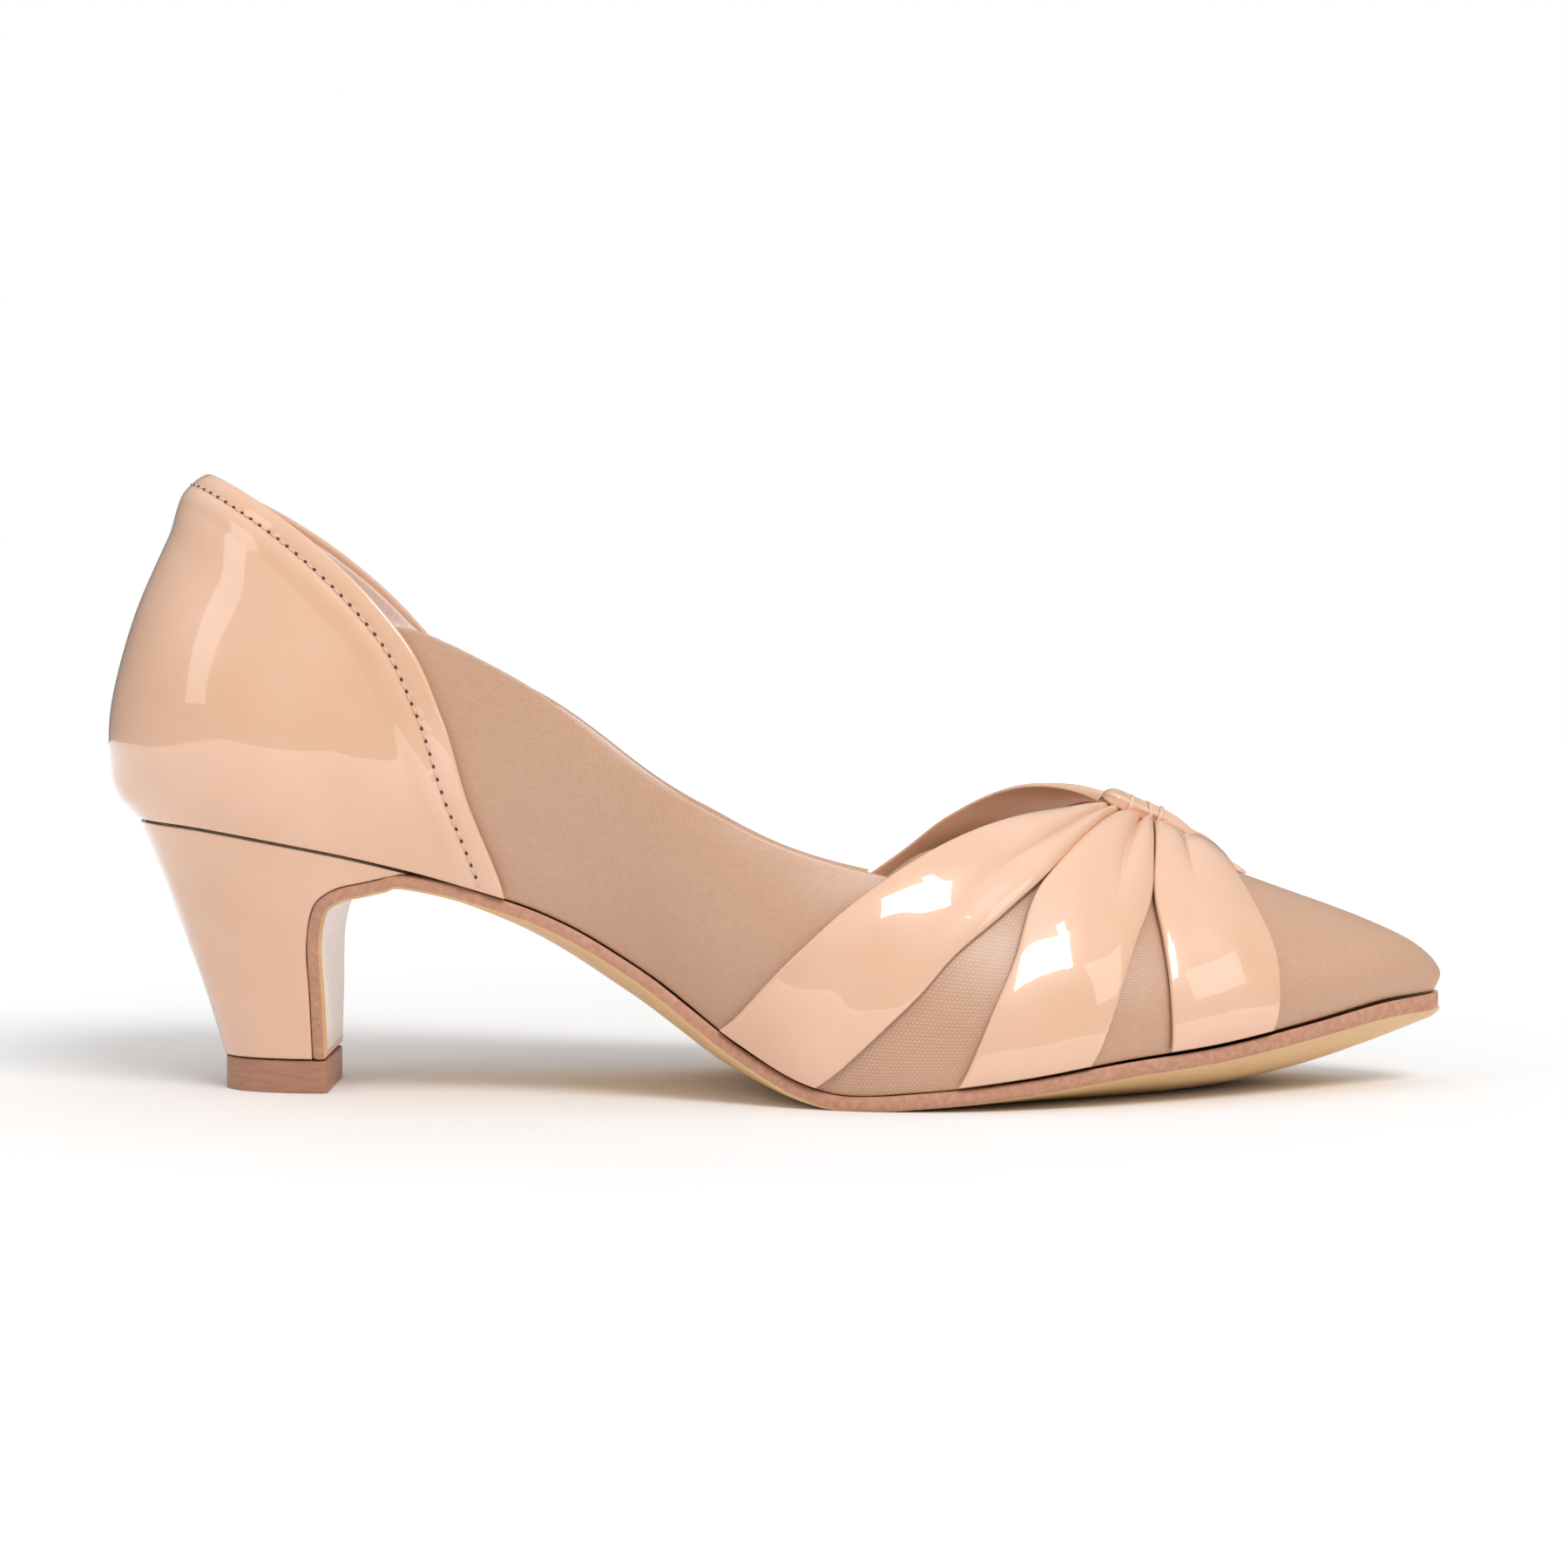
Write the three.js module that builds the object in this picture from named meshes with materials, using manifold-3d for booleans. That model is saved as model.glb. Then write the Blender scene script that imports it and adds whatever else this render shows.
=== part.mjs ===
// A women's pointed court shoe for the right foot, on a covered block heel of about 50 mm.
// A satin upper carries a patent heel quarter on each side and three pleated patent bands a side,
// which gather under a wrap on the vamp. The outsole runs down the front of the heel.
//
// Millimetres. +X points to the toe, -Y to the outer (lateral) side, +Z up. The shoe stands on Z = 0
// and its bounding box is centred on X = Y = 0.
import * as THREE from "three";
import { mergeVertices } from "three/addons/utils/BufferGeometryUtils.js";
import Module from "manifold-3d";

const wasm = await Module();
wasm.setup();
const { clamp, lerp, smoothstep } = THREE.MathUtils;

// ---- Driving dimensions -------------------------------------------------------------------------

const LAST_LENGTH = 239; // along the feather line, heel seat to toe tip
const BALL_WIDTH = 74; // across the feather line at the ball
const SEAT_HEIGHT = 47; // heel seat above the tread line
const TOE_SPRING = 14.4; // toe tip above the tread line
const UPPER_HEIGHT = 63; // top of the back seam above the heel seat

const CLEARANCE = 0.3; // between neighbouring pieces
const BED_GAP = 0.4; // between the sheets on the bottom of the last, which slope
const BAND_GAP = 0.6; // under the pleated bands
const SATIN = 0.8;
const PATENT = 0.9;
const BACKING = 0.5; // between satin and lining
const COUNTER = 1.8; // heel stiffener
const LINING = 0.8;

const OUTSOLE = 2.7;
const SOLE_PROUD = 0.9; // sole edge and heel cover outside the upper's bottom edge
const SHANK = 1;
const INSOLE = 1.4;
const FOAM = 1.6;
const SOCK = 0.8;

const LIFT_HEIGHT = 6; // top lift, the wearing piece under the heel
const LIFT_WIDTH = 24;
const LIFT_PROUD = 0.5; // top lift outside the heel cover
const LIFT_BACK = 0.064 * LAST_LENGTH; // back of the top lift, from the back of the seat
const LIFT_FRONT = 0.1455 * LAST_LENGTH;
const BREAST_X = 0.134 * LAST_LENGTH; // front face of the heel, under the lip
const LIP_X = 0.212 * LAST_LENGTH; // tip of the heel's lip, forward under the seat
const LIP_TIP = 0.6; // thickness of that tip
const HEEL_COVER = 0.8;
const HEEL_FLARE = 1.2; // how the heel widens with height: 1 is straight

// ---- The last -----------------------------------------------------------------------------------

// The last is drawn at these sizes and graded to the ones above.
const PATTERN = { length: 239, width: 74, seat: 47, spring: 14.4, upper: 63, ball: 128 };
const GRADE = {
  x: LAST_LENGTH / PATTERN.length,
  y: BALL_WIDTH / PATTERN.width,
  seat: SEAT_HEIGHT / PATTERN.seat,
  spring: TOE_SPRING / PATTERN.spring,
  up: UPPER_HEIGHT / PATTERN.upper,
};
const TREAD = OUTSOLE + CLEARANCE; // height of the feather line where the tread meets the ground

// Stations from the heel seat to the toe tip, x from the back of the seat.
//   z          feather line, where the upper meets the sole, above the tread line
//   lat, med   its distance from the centre line on each side
//   drop       how far the bottom of the last sags between the two
//   back, up   from there to the crown line: up the heel curve, over the foot, down the toe ridge
//   y          sideways place of the crown line
//   lean, rise the wall's slope and fullness above the feather line; span, the round at the crown
const COLUMNS = ["x", "z", "lat", "med", "drop", "back", "up", "y", "lean", "rise", "span"];
const STATIONS = [
  [0, 47.1, 0, 0, 0, 0, 0, 0, 0, 0, 0],
  [0.9, 47.1, 6.5, 6.5, 0, 4.6, 3.9, 0, 1.5, 2, 4],
  [4.5, 46.9, 14, 14, 0, 9.7, 10.4, 0, 4, 6, 10],
  [13.3, 46.1, 21, 21, 0, 17.8, 22.6, 0, 7, 13, 16],
  [27.3, 43.8, 25.3, 25, 0, 27.6, 40, 0, 9, 22, 21],
  [43.3, 40.6, 26.3, 25, 0, 37.4, 57.3, 0, 10, 28, 22],
  [59.3, 36.4, 26, 24, 1.2, 47.6, 72, 0, 10, 32, 23],
  [77.3, 30.2, 25.5, 23, 2.6, 44, 82, 0, 11, 32, 27],
  [94.3, 20, 26, 23.5, 3, 31, 81, 0, 12, 30, 32],
  [110.3, 7.8, 29.5, 27, 2.4, 17, 77, 0, 10, 26, 33],
  [125.3, 0.2, 34.5, 31.5, 0.6, 6, 70, 0.3, 7, 20, 31],
  [142.3, 0.5, 38, 35.5, 0.9, -1, 58.5, 0.7, 5, 14, 27],
  [160.3, 2.6, 37, 37, 3, -3, 47, 1.1, 5, 11, 23],
  [178.3, 5.4, 32, 35, 5.6, -2, 38.2, 1.8, 5, 10, 19],
  [196.3, 7.4, 24, 29, 5.8, 0, 31.2, 2.5, 5, 9, 16],
  [213.3, 10.5, 15, 21.5, 5.3, 1, 22.5, 3.1, 4.5, 7, 12],
  [227.3, 13.4, 6.8, 13.8, 3.6, 1, 14.4, 3.5, 3.5, 5, 8],
  [235.3, 14.2, 1.2, 8.8, 1.4, -0.5, 8.8, 3.7, 2, 3, 4.5],
  [238.3, 14.4, -1, 6.6, 0.5, -2, 3.8, 3.8, 0.8, 1.2, 2],
  [239.1, 14.4, -3.8, 3.8, 0, 0, 0, 3.8, 0, 0, 0],
].map((row) => Object.fromEntries(COLUMNS.map((column, i) => [column, row[i]])));

const LATERAL = -1;
const MEDIAL = 1;
const SIDES = { lateral: LATERAL, medial: MEDIAL };

const stationZ = (s, rise) => TREAD + rise * (s.x < PATTERN.ball ? GRADE.seat : GRADE.spring);

function stationFoot(s, side) {
  const y = side === LATERAL ? -s.lat : s.med;
  return new THREE.Vector3(s.x * GRADE.x, y * GRADE.y, stationZ(s, s.z));
}

function smooth(points, closed = false) {
  return new THREE.CatmullRomCurve3(points, closed, "catmullrom", 0.5);
}

// The feather line is a closed ring: out along the lateral side and back along the medial one.
const featherRing = smooth(
  [
    ...STATIONS.map((s) => stationFoot(s, LATERAL)),
    ...STATIONS.slice(1, -1).reverse().map((s) => stationFoot(s, MEDIAL)),
  ],
  true,
);
const crownLine = smooth(STATIONS.map((s) => new THREE.Vector3(
  (s.x - s.back) * GRADE.x, s.y * GRADE.y, stationZ(s, s.z) + s.up * GRADE.up)));
const wallForm = smooth(STATIONS.map((s) => new THREE.Vector3(
  s.lean * GRADE.y, s.rise * GRADE.up, s.span * GRADE.y)));
const bottomDrop = smooth(STATIONS.map((s) => new THREE.Vector3(
  s.x * GRADE.x, 0, stationZ(s, s.drop) - TREAD)));

/** The feather line on one side, from a = 0 at the heel seat to a = 1 at the toe tip. */
function feather(a, side) {
  return featherRing.getPoint(side === LATERAL ? a / 2 : (1 - a / 2) % 1);
}

/** The level direction away from the foot at the feather line. */
function outward(a, side) {
  const step = 5e-4;
  const u = side === LATERAL ? a / 2 : 1 - a / 2;
  const next = featherRing.getPoint((u + step) % 1);
  const level = next.sub(featherRing.getPoint((u - step + 1) % 1));
  return new THREE.Vector3(level.y, -level.x, 0).normalize();
}

/** A point on the last's side wall: t = 0 on the feather line, t = 1 on the crown line. */
function wall(a, t, side) {
  const foot = feather(a, side);
  const top = crownLine.getPoint(a);
  const form = wallForm.getPoint(a);
  const low = foot.clone().addScaledVector(outward(a, side), Math.max(form.x, 0));
  low.z += Math.max(form.y, 0);
  const high = top.clone();
  high.y += side * Math.max(form.z, 0);
  return new THREE.CubicBezierCurve3(foot, low, high, top).getPoint(t);
}

const overFoot = (t, side) => (side === LATERAL ? t / 2 : 1 - t / 2);

/** A point of the last: b runs from the lateral feather line, over the crown, to the medial one. */
function lastPoint(a, b) {
  return b <= 0.5 ? wall(a, 2 * b, LATERAL) : wall(a, 2 * (1 - b), MEDIAL);
}

/** The direction in which the layers of the upper lie on each other at a point of the last. */
function layDirection(a, b) {
  const side = b <= 0.5 ? LATERAL : MEDIAL;
  const t = b <= 0.5 ? 2 * b : 2 * (1 - b);
  const step = 1e-3;
  const near = clamp(a, 0.01, 0.99);
  const over = clamp(b, step, 1 - step);
  const alongA = lastPoint(near + step, over).sub(lastPoint(near - step, over));
  const alongB = lastPoint(near, over + step).sub(lastPoint(near, over - step));
  const normal = alongA.cross(alongB).normalize();
  // Level at the feather line, so that every layer ends at one height on the sole.
  const end = new THREE.Vector3(a < 0.5 ? -1 : 1, 0, 0);
  const level = outward(a, side).lerp(end, t).normalize();
  const height = lastPoint(a, b).z - feather(a, side).z;
  return level.lerp(normal, smoothstep(height, 0, 8)).normalize();
}

const layer = (a, b, offset) => lastPoint(a, b).addScaledVector(layDirection(a, b), offset);

// The bottom of the last in slices, to look up at any x.
const SLICES = Array.from({ length: 241 }, (_, i) => {
  const lateral = feather(i / 240, LATERAL);
  const medial = feather(i / 240, MEDIAL);
  return {
    a: i / 240,
    x: lateral.x,
    z: lateral.z,
    middle: (lateral.y + medial.y) / 2,
    half: (medial.y - lateral.y) / 2,
    drop: Math.max(bottomDrop.getPoint(i / 240).z, 0),
  };
});

function slice(x) {
  const after = clamp(SLICES.findIndex((s) => s.x > x), 1, SLICES.length - 1);
  const next = x >= SLICES.at(-1).x ? SLICES.length - 1 : after;
  const [s, e] = [SLICES[next - 1], SLICES[next]];
  const f = clamp((x - s.x) / (e.x - s.x), 0, 1);
  return Object.fromEntries(Object.keys(s).map((key) => [key, lerp(s[key], e[key], f)]));
}

const seatAt = (x) => slice(x).z;

/** Height of the last's bottom over a point of the plan. */
function bed(x, y) {
  const s = slice(x);
  const across = s.half > 1 ? (y - s.middle) / s.half : 1;
  return s.z - s.drop * Math.max(0, 1 - across * across);
}

/** The place (a, t) on a side wall at pattern x and height above the feather line, side view. */
function mark([x, height], side) {
  const step = 1e-4;
  const gap = (a, t) => {
    const p = wall(a, t, side);
    return [p.x - x * GRADE.x, p.z - seatAt(p.x) - height * GRADE.up];
  };
  let a = clamp(x / PATTERN.length, 0.1, 0.9);
  let t = 0.4;
  for (let turn = 0; turn < 40; turn += 1) {
    const g = gap(a, t);
    const alongA = gap(a + step, t).map((v, i) => (v - g[i]) / step);
    const alongT = gap(a, t + step).map((v, i) => (v - g[i]) / step);
    const det = alongA[0] * alongT[1] - alongT[0] * alongA[1];
    const moveA = (g[0] * alongT[1] - alongT[0] * g[1]) / det;
    const moveT = (alongA[0] * g[1] - g[0] * alongA[1]) / det;
    a = clamp(a - clamp(moveA, -0.05, 0.05), 0.02, 0.98);
    t = clamp(t - clamp(moveT, -0.1, 0.1), 0, 1);
  }
  return new THREE.Vector2(a, t);
}

/** The place on the crown line over pattern x, on the forepart. */
function ridge(x, t = 1) {
  let [low, high] = [0.6, 1];
  for (let turn = 0; turn < 30; turn += 1) {
    const middle = (low + high) / 2;
    if (crownLine.getPoint(middle).x < x * GRADE.x) low = middle;
    else high = middle;
  }
  return new THREE.Vector2(low, t);
}

/** A smooth line through places on the last, as a function that looks one coordinate up. */
function lookup(places, from, to) {
  return (value) => {
    const after = clamp(places.findIndex((p) => p[from] > value), 1, places.length - 1);
    const next = value >= places.at(-1)[from] ? places.length - 1 : after;
    const [p, q] = [places[next - 1], places[next]];
    return lerp(p[to], q[to], clamp((value - p[from]) / (q[from] - p[from]), 0, 1));
  };
}

// ---- Solids -------------------------------------------------------------------------------------

/** Joins the faces of a mapped box into one closed body with its faces outward. */
function closed(mapped) {
  mapped.deleteAttribute("normal");
  mapped.deleteAttribute("uv");
  const geometry = mergeVertices(mapped, 1e-3);
  const index = [...geometry.index.array];
  const kept = [];
  const [u, v, w] = [new THREE.Vector3(), new THREE.Vector3(), new THREE.Vector3()];
  let volume = 0;
  for (let i = 0; i < index.length; i += 3) {
    const [a, b, c] = index.slice(i, i + 3);
    if (a !== b && b !== c && c !== a) {
      kept.push(a, b, c);
      [u, v, w].forEach((corner, n) => corner.fromBufferAttribute(geometry.attributes.position, [a, b, c][n]));
      volume += u.dot(v.cross(w));
    }
  }
  geometry.setIndex(volume < 0 ? kept.reverse() : kept);
  geometry.computeVertexNormals();
  return geometry;
}

/** A box whose corners p, q, k (0 to 1 each) are moved to where place(p, q, k) puts them. */
function mappedBox(place, cuts) {
  const box = new THREE.BoxGeometry(1, 1, 1, ...cuts);
  const position = box.attributes.position;
  for (let i = 0; i < position.count; i += 1) {
    const point = place(position.getX(i) + 0.5, position.getY(i) + 0.5, position.getZ(i) + 0.5);
    position.setXYZ(i, point.x, point.y, point.z);
  }
  return closed(box);
}

const valueOf = (value, p, q) => (typeof value === "function" ? value(p, q) : value);

/** A layer of the upper. region(p, q) gives its place (a, b); inner and outer are its two offsets. */
function upperLayer(region, inner, outer, cuts) {
  return mappedBox((p, q, k) => {
    const [a, b] = region(p, q);
    return layer(a, b, lerp(valueOf(inner, p, q), valueOf(outer, p, q), k));
  }, [...cuts, 1]);
}

function manifold(geometry) {
  const mesh = new wasm.Mesh({
    numProp: 3,
    vertProperties: new Float32Array(geometry.attributes.position.array),
    triVerts: new Uint32Array(geometry.index.array),
  });
  return new wasm.Manifold(mesh);
}

function fromManifold(body) {
  const mesh = body.getMesh();
  const geometry = new THREE.BufferGeometry();
  geometry.setAttribute("position", new THREE.BufferAttribute(new Float32Array(mesh.vertProperties), 3));
  geometry.setIndex([...mesh.triVerts]);
  return closed(geometry);
}

/** One solid with others cut away. */
function without(geometry, cutters) {
  const left = cutters.reduce((body, cutter) => body.subtract(manifold(cutter)), manifold(geometry));
  return fromManifold(left);
}

const common = (first, second) => fromManifold(manifold(first).intersect(manifold(second)));

/** A body turned about Z from a half outline of [radius, height] points, standing at a point. */
function turned(outline, at, segments = 14) {
  const points = outline.map(([r, z]) => new THREE.Vector2(r, z));
  const geometry = new THREE.LatheGeometry([...points, points[0].clone()], segments);
  geometry.rotateX(Math.PI / 2);
  geometry.translate(at.x, at.y, at.z);
  return closed(geometry);
}

// ---- Materials ----------------------------------------------------------------------------------

const finish = (color, roughness, metalness = 0) => () =>
  new THREE.MeshStandardMaterial({ color, roughness, metalness });
const patentLeather = finish(0xe8c0a2, 0.12);
const satin = finish(0xd8b79c, 0.42, 0.1);
const liningLeather = finish(0xf1ddd2, 0.7);
const paintedSole = finish(0xc79274, 0.55);
const liftPlastic = finish(0xb3816b, 0.45);
const heelPlastic = finish(0xd9d2c4, 0.5);
const fibreBoard = finish(0xb79a78, 0.9);
const stiffenerSheet = finish(0xe6e0d2, 0.85);
const backingCloth = finish(0xf2eee6, 0.95);
const cork = finish(0xb98d5f, 0.95);
const foam = finish(0xf0e6c8, 0.95);
const steel = finish(0xb8babd, 0.35, 1);

const shoe = new THREE.Group();

function add(name, geometry, material) {
  const mesh = new THREE.Mesh(geometry, material());
  mesh.name = name;
  shoe.add(mesh);
}

// ---- The upper's lines, drawn in side view ------------------------------------------------------

// Front edge of the heel quarter, from the sole up to the peak of the back seam.
const QUARTER_EDGE = [
  [68.2, 0.5], [62.4, 15], [57.6, 29.3], [52.4, 39.4], [46.3, 45.6], [36.2, 53], [25.3, 58.8], [18.4, 61.5],
];
const PEAK_A = 0.318; // place on the crown line of the back seam's top
// Topline of the satin quarter, from under the heel quarter forward.
const TOPLINE = [[52, 43.5], [62.6, 42], [74.5, 39.4], [89.6, 36.1], [107.3, 38.8], [124.9, 41], [136.1, 38.4]];
// Seam between satin quarter and vamp, hidden under the rear band.
const SEAM = [[117.3, 0.5], [127.3, 22], [139.3, 35.5]];
// The vamp's topline, from that seam to the throat on the ridge.
const THROAT = [[145, 39.4], [152, 41.4], [160, 43.4]];
const THROAT_X = 167;

// The inner side of the foot is cut a little lower.
const CUT = { [LATERAL]: { edge: 1, topline: 1 }, [MEDIAL]: { edge: 0.975, topline: 0.91 } };

/** Everything that is drawn on one side of the upper. */
function sideLines(side) {
  const marks = (points, share = 1) => points.map(([x, height]) => mark([x, height * share], side));
  const edge = [...marks(QUARTER_EDGE, CUT[side].edge), new THREE.Vector2(PEAK_A, 1)];
  const seam = marks(SEAM);
  return {
    edge: lookup(edge, "y", "x"),
    topline: lookup(marks(TOPLINE, CUT[side].topline), "x", "y"),
    seam: lookup(seam, "y", "x"),
    vampEdge: lookup([...seam, ...marks(THROAT), ridge(THROAT_X)], "y", "x"),
  };
}

const LINES = { [LATERAL]: sideLines(LATERAL), [MEDIAL]: sideLines(MEDIAL) };
const linesAt = (b) => (b <= 0.5 ? [LINES[LATERAL], 2 * b] : [LINES[MEDIAL], 2 * (1 - b)]);

const gapA = CLEARANCE / LAST_LENGTH; // a clearance, as a step in a

const BACKING_FACE = SATIN + CLEARANCE;
const LINING_FACE = COUNTER + CLEARANCE;
const LINING_BACK = LINING_FACE + LINING;
const FLOOR_INSET = LINING_BACK + 0.0075 * LAST_LENGTH; // the sheets end inside the linings

// The layers round the heel share one grid, so that their faces run parallel. Each face is split
// along its diagonal, which lies the other way on the inner face of a layer, so every second layer
// is mapped in reverse.
const HEEL_CUTS = 9;
const WALL_CUTS = 8;
const COUNTER_SHARE = 8 / HEEL_CUTS; // how far forward the counter comes under the heel quarter

// ---- Upper --------------------------------------------------------------------------------------

function addHeelQuarter(name, side) {
  const geometry = mappedBox((p, q, k) => {
    const t = side === LATERAL ? 1 - q : q;
    const inner = lerp(CLEARANCE, BAND_GAP, p ** 4); // eases out where it laps the satin
    const point = layer(p * LINES[side].edge(t), overFoot(t, side), inner + k * PATENT);
    point.y = side * Math.max(side * point.y, CLEARANCE / 2);
    return point;
  }, [HEEL_CUTS, WALL_CUTS, 1]);
  add(`heel_quarter_${name}`, geometry, patentLeather);
}

/** A region of the quarter from aStart to the seam, from the sole up to a share of the topline. */
function quarterRegion(side, aStart, share = 1) {
  const { topline, seam } = LINES[side];
  return (p, q) => {
    const t = q * share * topline(0.5);
    const a = lerp(valueOf(aStart, t), seam(t) - 1.5 * gapA, p);
    return [a, overFoot(q * share * topline(a), side)];
  };
}

const BACKING_SHARE = 0.86; // the backing ends below the topline, where the satin is folded over

function addSatinQuarter(name, side) {
  // The satin starts under the heel quarter, where the counter ends.
  const start = (t) => COUNTER_SHARE * LINES[side].edge(t) + 3 * gapA;
  const region = quarterRegion(side, start);
  add(`satin_quarter_${name}`, upperLayer(region, -SATIN, 0, [8, 6]), satin);
  const backed = quarterRegion(side, start, BACKING_SHARE);
  const backing = upperLayer(backed, -BACKING_FACE - BACKING, -BACKING_FACE, [8, 4]);
  add(`quarter_backing_${name}`, backing, backingCloth);
  const lining = quarterRegion(side, (t) => LINES[side].edge(t) + 3 * gapA);
  add(`quarter_lining_${name}`, upperLayer(lining, -LINING_BACK, -LINING_FACE, [8, 6]), liningLeather);
}

function addBack() {
  const upTo = (share) => (p, q) => {
    const [lines, t] = linesAt(q);
    return [p * share * lines.edge(t), q];
  };
  const counter = upperLayer(upTo(COUNTER_SHARE), -COUNTER, 0, [HEEL_CUTS - 1, 2 * WALL_CUTS]);
  add("heel_counter", counter, stiffenerSheet);
  const reverse = (p, q) => upTo(1)(p, 1 - q);
  const lining = upperLayer(reverse, -LINING_BACK, -LINING_FACE, [HEEL_CUTS, 2 * WALL_CUTS]);
  add("heel_lining", lining, liningLeather);
}

const PUFF_A = 0.82; // back edge of the toe puff

function addVamp() {
  const region = (p, q) => {
    const [lines, t] = linesAt(q);
    return [lerp(lines.vampEdge(t) + 1.5 * gapA, 1, p), q];
  };
  add("vamp", upperLayer(region, -SATIN, 0, [12, 16]), satin);
  add("vamp_lining", upperLayer(region, -LINING_BACK, -LINING_FACE, [12, 14]), liningLeather);
  const puff = (p, q) => [lerp(PUFF_A, 1, p), q];
  add("toe_puff", upperLayer(puff, -BACKING_FACE - BACKING, -BACKING_FACE, [7, 12]), stiffenerSheet);
}

// ---- Pleated bands ------------------------------------------------------------------------------

// Back and front edge of each band, from the sole up; ridge is where each reaches the ridge line.
const BANDS = {
  rear: {
    back: [[106.8, 0.4], [121.9, 25], [136.8, 37.8], [149, 43.9], [161.8, 46.1]],
    front: [[124, 0.4], [139.4, 14.8], [148.1, 23.1], [157.1, 28.9], [167, 35]],
    ridge: [175, 179.4],
    stand: { [LATERAL]: 0.8, [MEDIAL]: 1.6 },
  },
  middle: {
    back: [[148.6, 0.4], [154.3, 12], [158.6, 21], [163, 30.5], [168.2, 35.2]],
    front: [[171.9, 0.4], [177.6, 12.4], [180.8, 20], [183.4, 26.5], [183.9, 33]],
    ridge: [180.2, 184.4],
    stand: { [LATERAL]: 0, [MEDIAL]: 0 },
  },
  front: {
    back: [[186.5, 0.4], [186.4, 11.4], [185.6, 19.5], [184.9, 27], [184.9, 33]],
    front: [[205.7, 0.4], [207, 10.5], [205.7, 17], [202.4, 24.5], [199.8, 28.6]],
    ridge: [185.2, 198.5],
    stand: { [LATERAL]: 0, [MEDIAL]: 0 },
  },
};
const PLEAT = 1.3; // how full a band is along its middle
const GATHER = 3; // how far the bands pile up under the wrap
const BAND_END_T = 0.975;

/** Height added by the gathered ends of the bands, greatest towards the knot. */
function gathered(a, t) {
  const forward = smoothstep(a, ridge(184).x, ridge(202).x);
  return GATHER * (1 - forward) * smoothstep(t, 0.6, 0.93);
}

function addBand(bandName, sideName, side) {
  const band = BANDS[bandName];
  const line = (points, ridgeX) =>
    new THREE.SplineCurve([...points.map((point) => mark(point, side)), ridge(ridgeX, BAND_END_T)]);
  const back = line(band.back, band.ridge[0]);
  const front = line(band.front, band.ridge[1]);
  const geometry = mappedBox((p, q, k) => {
    const place = back.getPoint(q).lerp(front.getPoint(q), p);
    const inner = BAND_GAP + band.stand[side] * (1 - p) ** 2 * Math.sin(Math.PI * q * q);
    const full = PLEAT * Math.sin(Math.PI * p) * Math.sin(Math.PI * q);
    const outer = inner + PATENT + full + gathered(place.x, place.y);
    return layer(place.x, overFoot(place.y, side), lerp(inner, outer, k));
  }, [4, 13, 1]);
  add(`band_${bandName}_${sideName}`, geometry, patentLeather);
}

const WRAP_FROM = 176.5;
const WRAP_TO = 202;
const WRAP_HALF = 0.11; // half width of the wrap, in t
const WRAP = 1.1;

function addWrap() {
  const region = (p, q) => [ridge(lerp(WRAP_FROM, WRAP_TO, p)).x, 0.5 + (q - 0.5) * WRAP_HALF];
  const under = (p, q) => {
    const [a, b] = region(p, q);
    return 2 * BAND_GAP + PATENT + gathered(a, linesAt(b)[1]);
  };
  const geometry = upperLayer(region, under, (p, q) => under(p, q) + WRAP, [9, 6]);
  add("band_wrap", geometry, patentLeather);
}

// ---- Inside the bottom --------------------------------------------------------------------------

function bisect(low, high, isLow) {
  for (let turn = 0; turn < 16; turn += 1) {
    const middle = (low + high) / 2;
    if (isLow(middle)) low = middle;
    else high = middle;
  }
  return (low + high) / 2;
}

/** Inside of the upper at a height above the feather line, brought in by an inset. */
function rim(a, height, inset, side) {
  const level = feather(a, side).z + height;
  const t = bisect(0, 1, (middle) => wall(a, middle, side).z < level);
  return layer(a, overFoot(t, side), -inset);
}

/** Where the back seam passes a height above the heel seat. */
const heelEnd = (height) => bisect(0, 0.2, (a) => crownLine.getPoint(a).z - feather(a, MEDIAL).z < height);

// The sheets on the bottom share one grid too, and lie in reverse to each other in the same way.
const BED_CUTS = 26;
const ACROSS_CUTS = 4;
const ROUND_CUTS = 3; // of the cuts along, those round the back of the heel
const BED_FROM = 0.16;
const BED_TO = 0.93;

/** Place along the last of a cut of that grid. */
const bedCut = (cut) => lerp(BED_FROM, BED_TO, (cut - ROUND_CUTS) / (BED_CUTS - ROUND_CUTS));

function sheetPoint(a, q, height, inset) {
  const point = rim(a, height, inset, LATERAL).lerp(rim(a, height, inset, MEDIAL), q);
  point.z = bed(point.x, point.y) + height;
  return point;
}

/** A full length sheet on the bottom of the last, between two heights above it. */
function bedSheet(low, high, reversed) {
  return mappedBox((p, q, k) => {
    const height = lerp(low, high, k);
    const cut = p * BED_CUTS;
    const a = cut < ROUND_CUTS ? lerp(heelEnd(height), BED_FROM, cut / ROUND_CUTS) : bedCut(cut);
    return sheetPoint(a, reversed ? 1 - q : q, height, FLOOR_INSET);
  }, [BED_CUTS, ACROSS_CUTS, 1]);
}

const SHANK_WIDTH = 13;
const SHANK_END = 13; // last cut of the shank, behind the ball
const SHANK_LOW = 0.2;
const FILLER_START = 15;
const FILLER_INSET = FLOOR_INSET + 3;
const BOARD_BASE = SHANK_LOW + SHANK + BED_GAP;
const FOAM_BASE = BOARD_BASE + INSOLE + BED_GAP;
const SOCK_BASE = FOAM_BASE + FOAM + BED_GAP;

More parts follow.
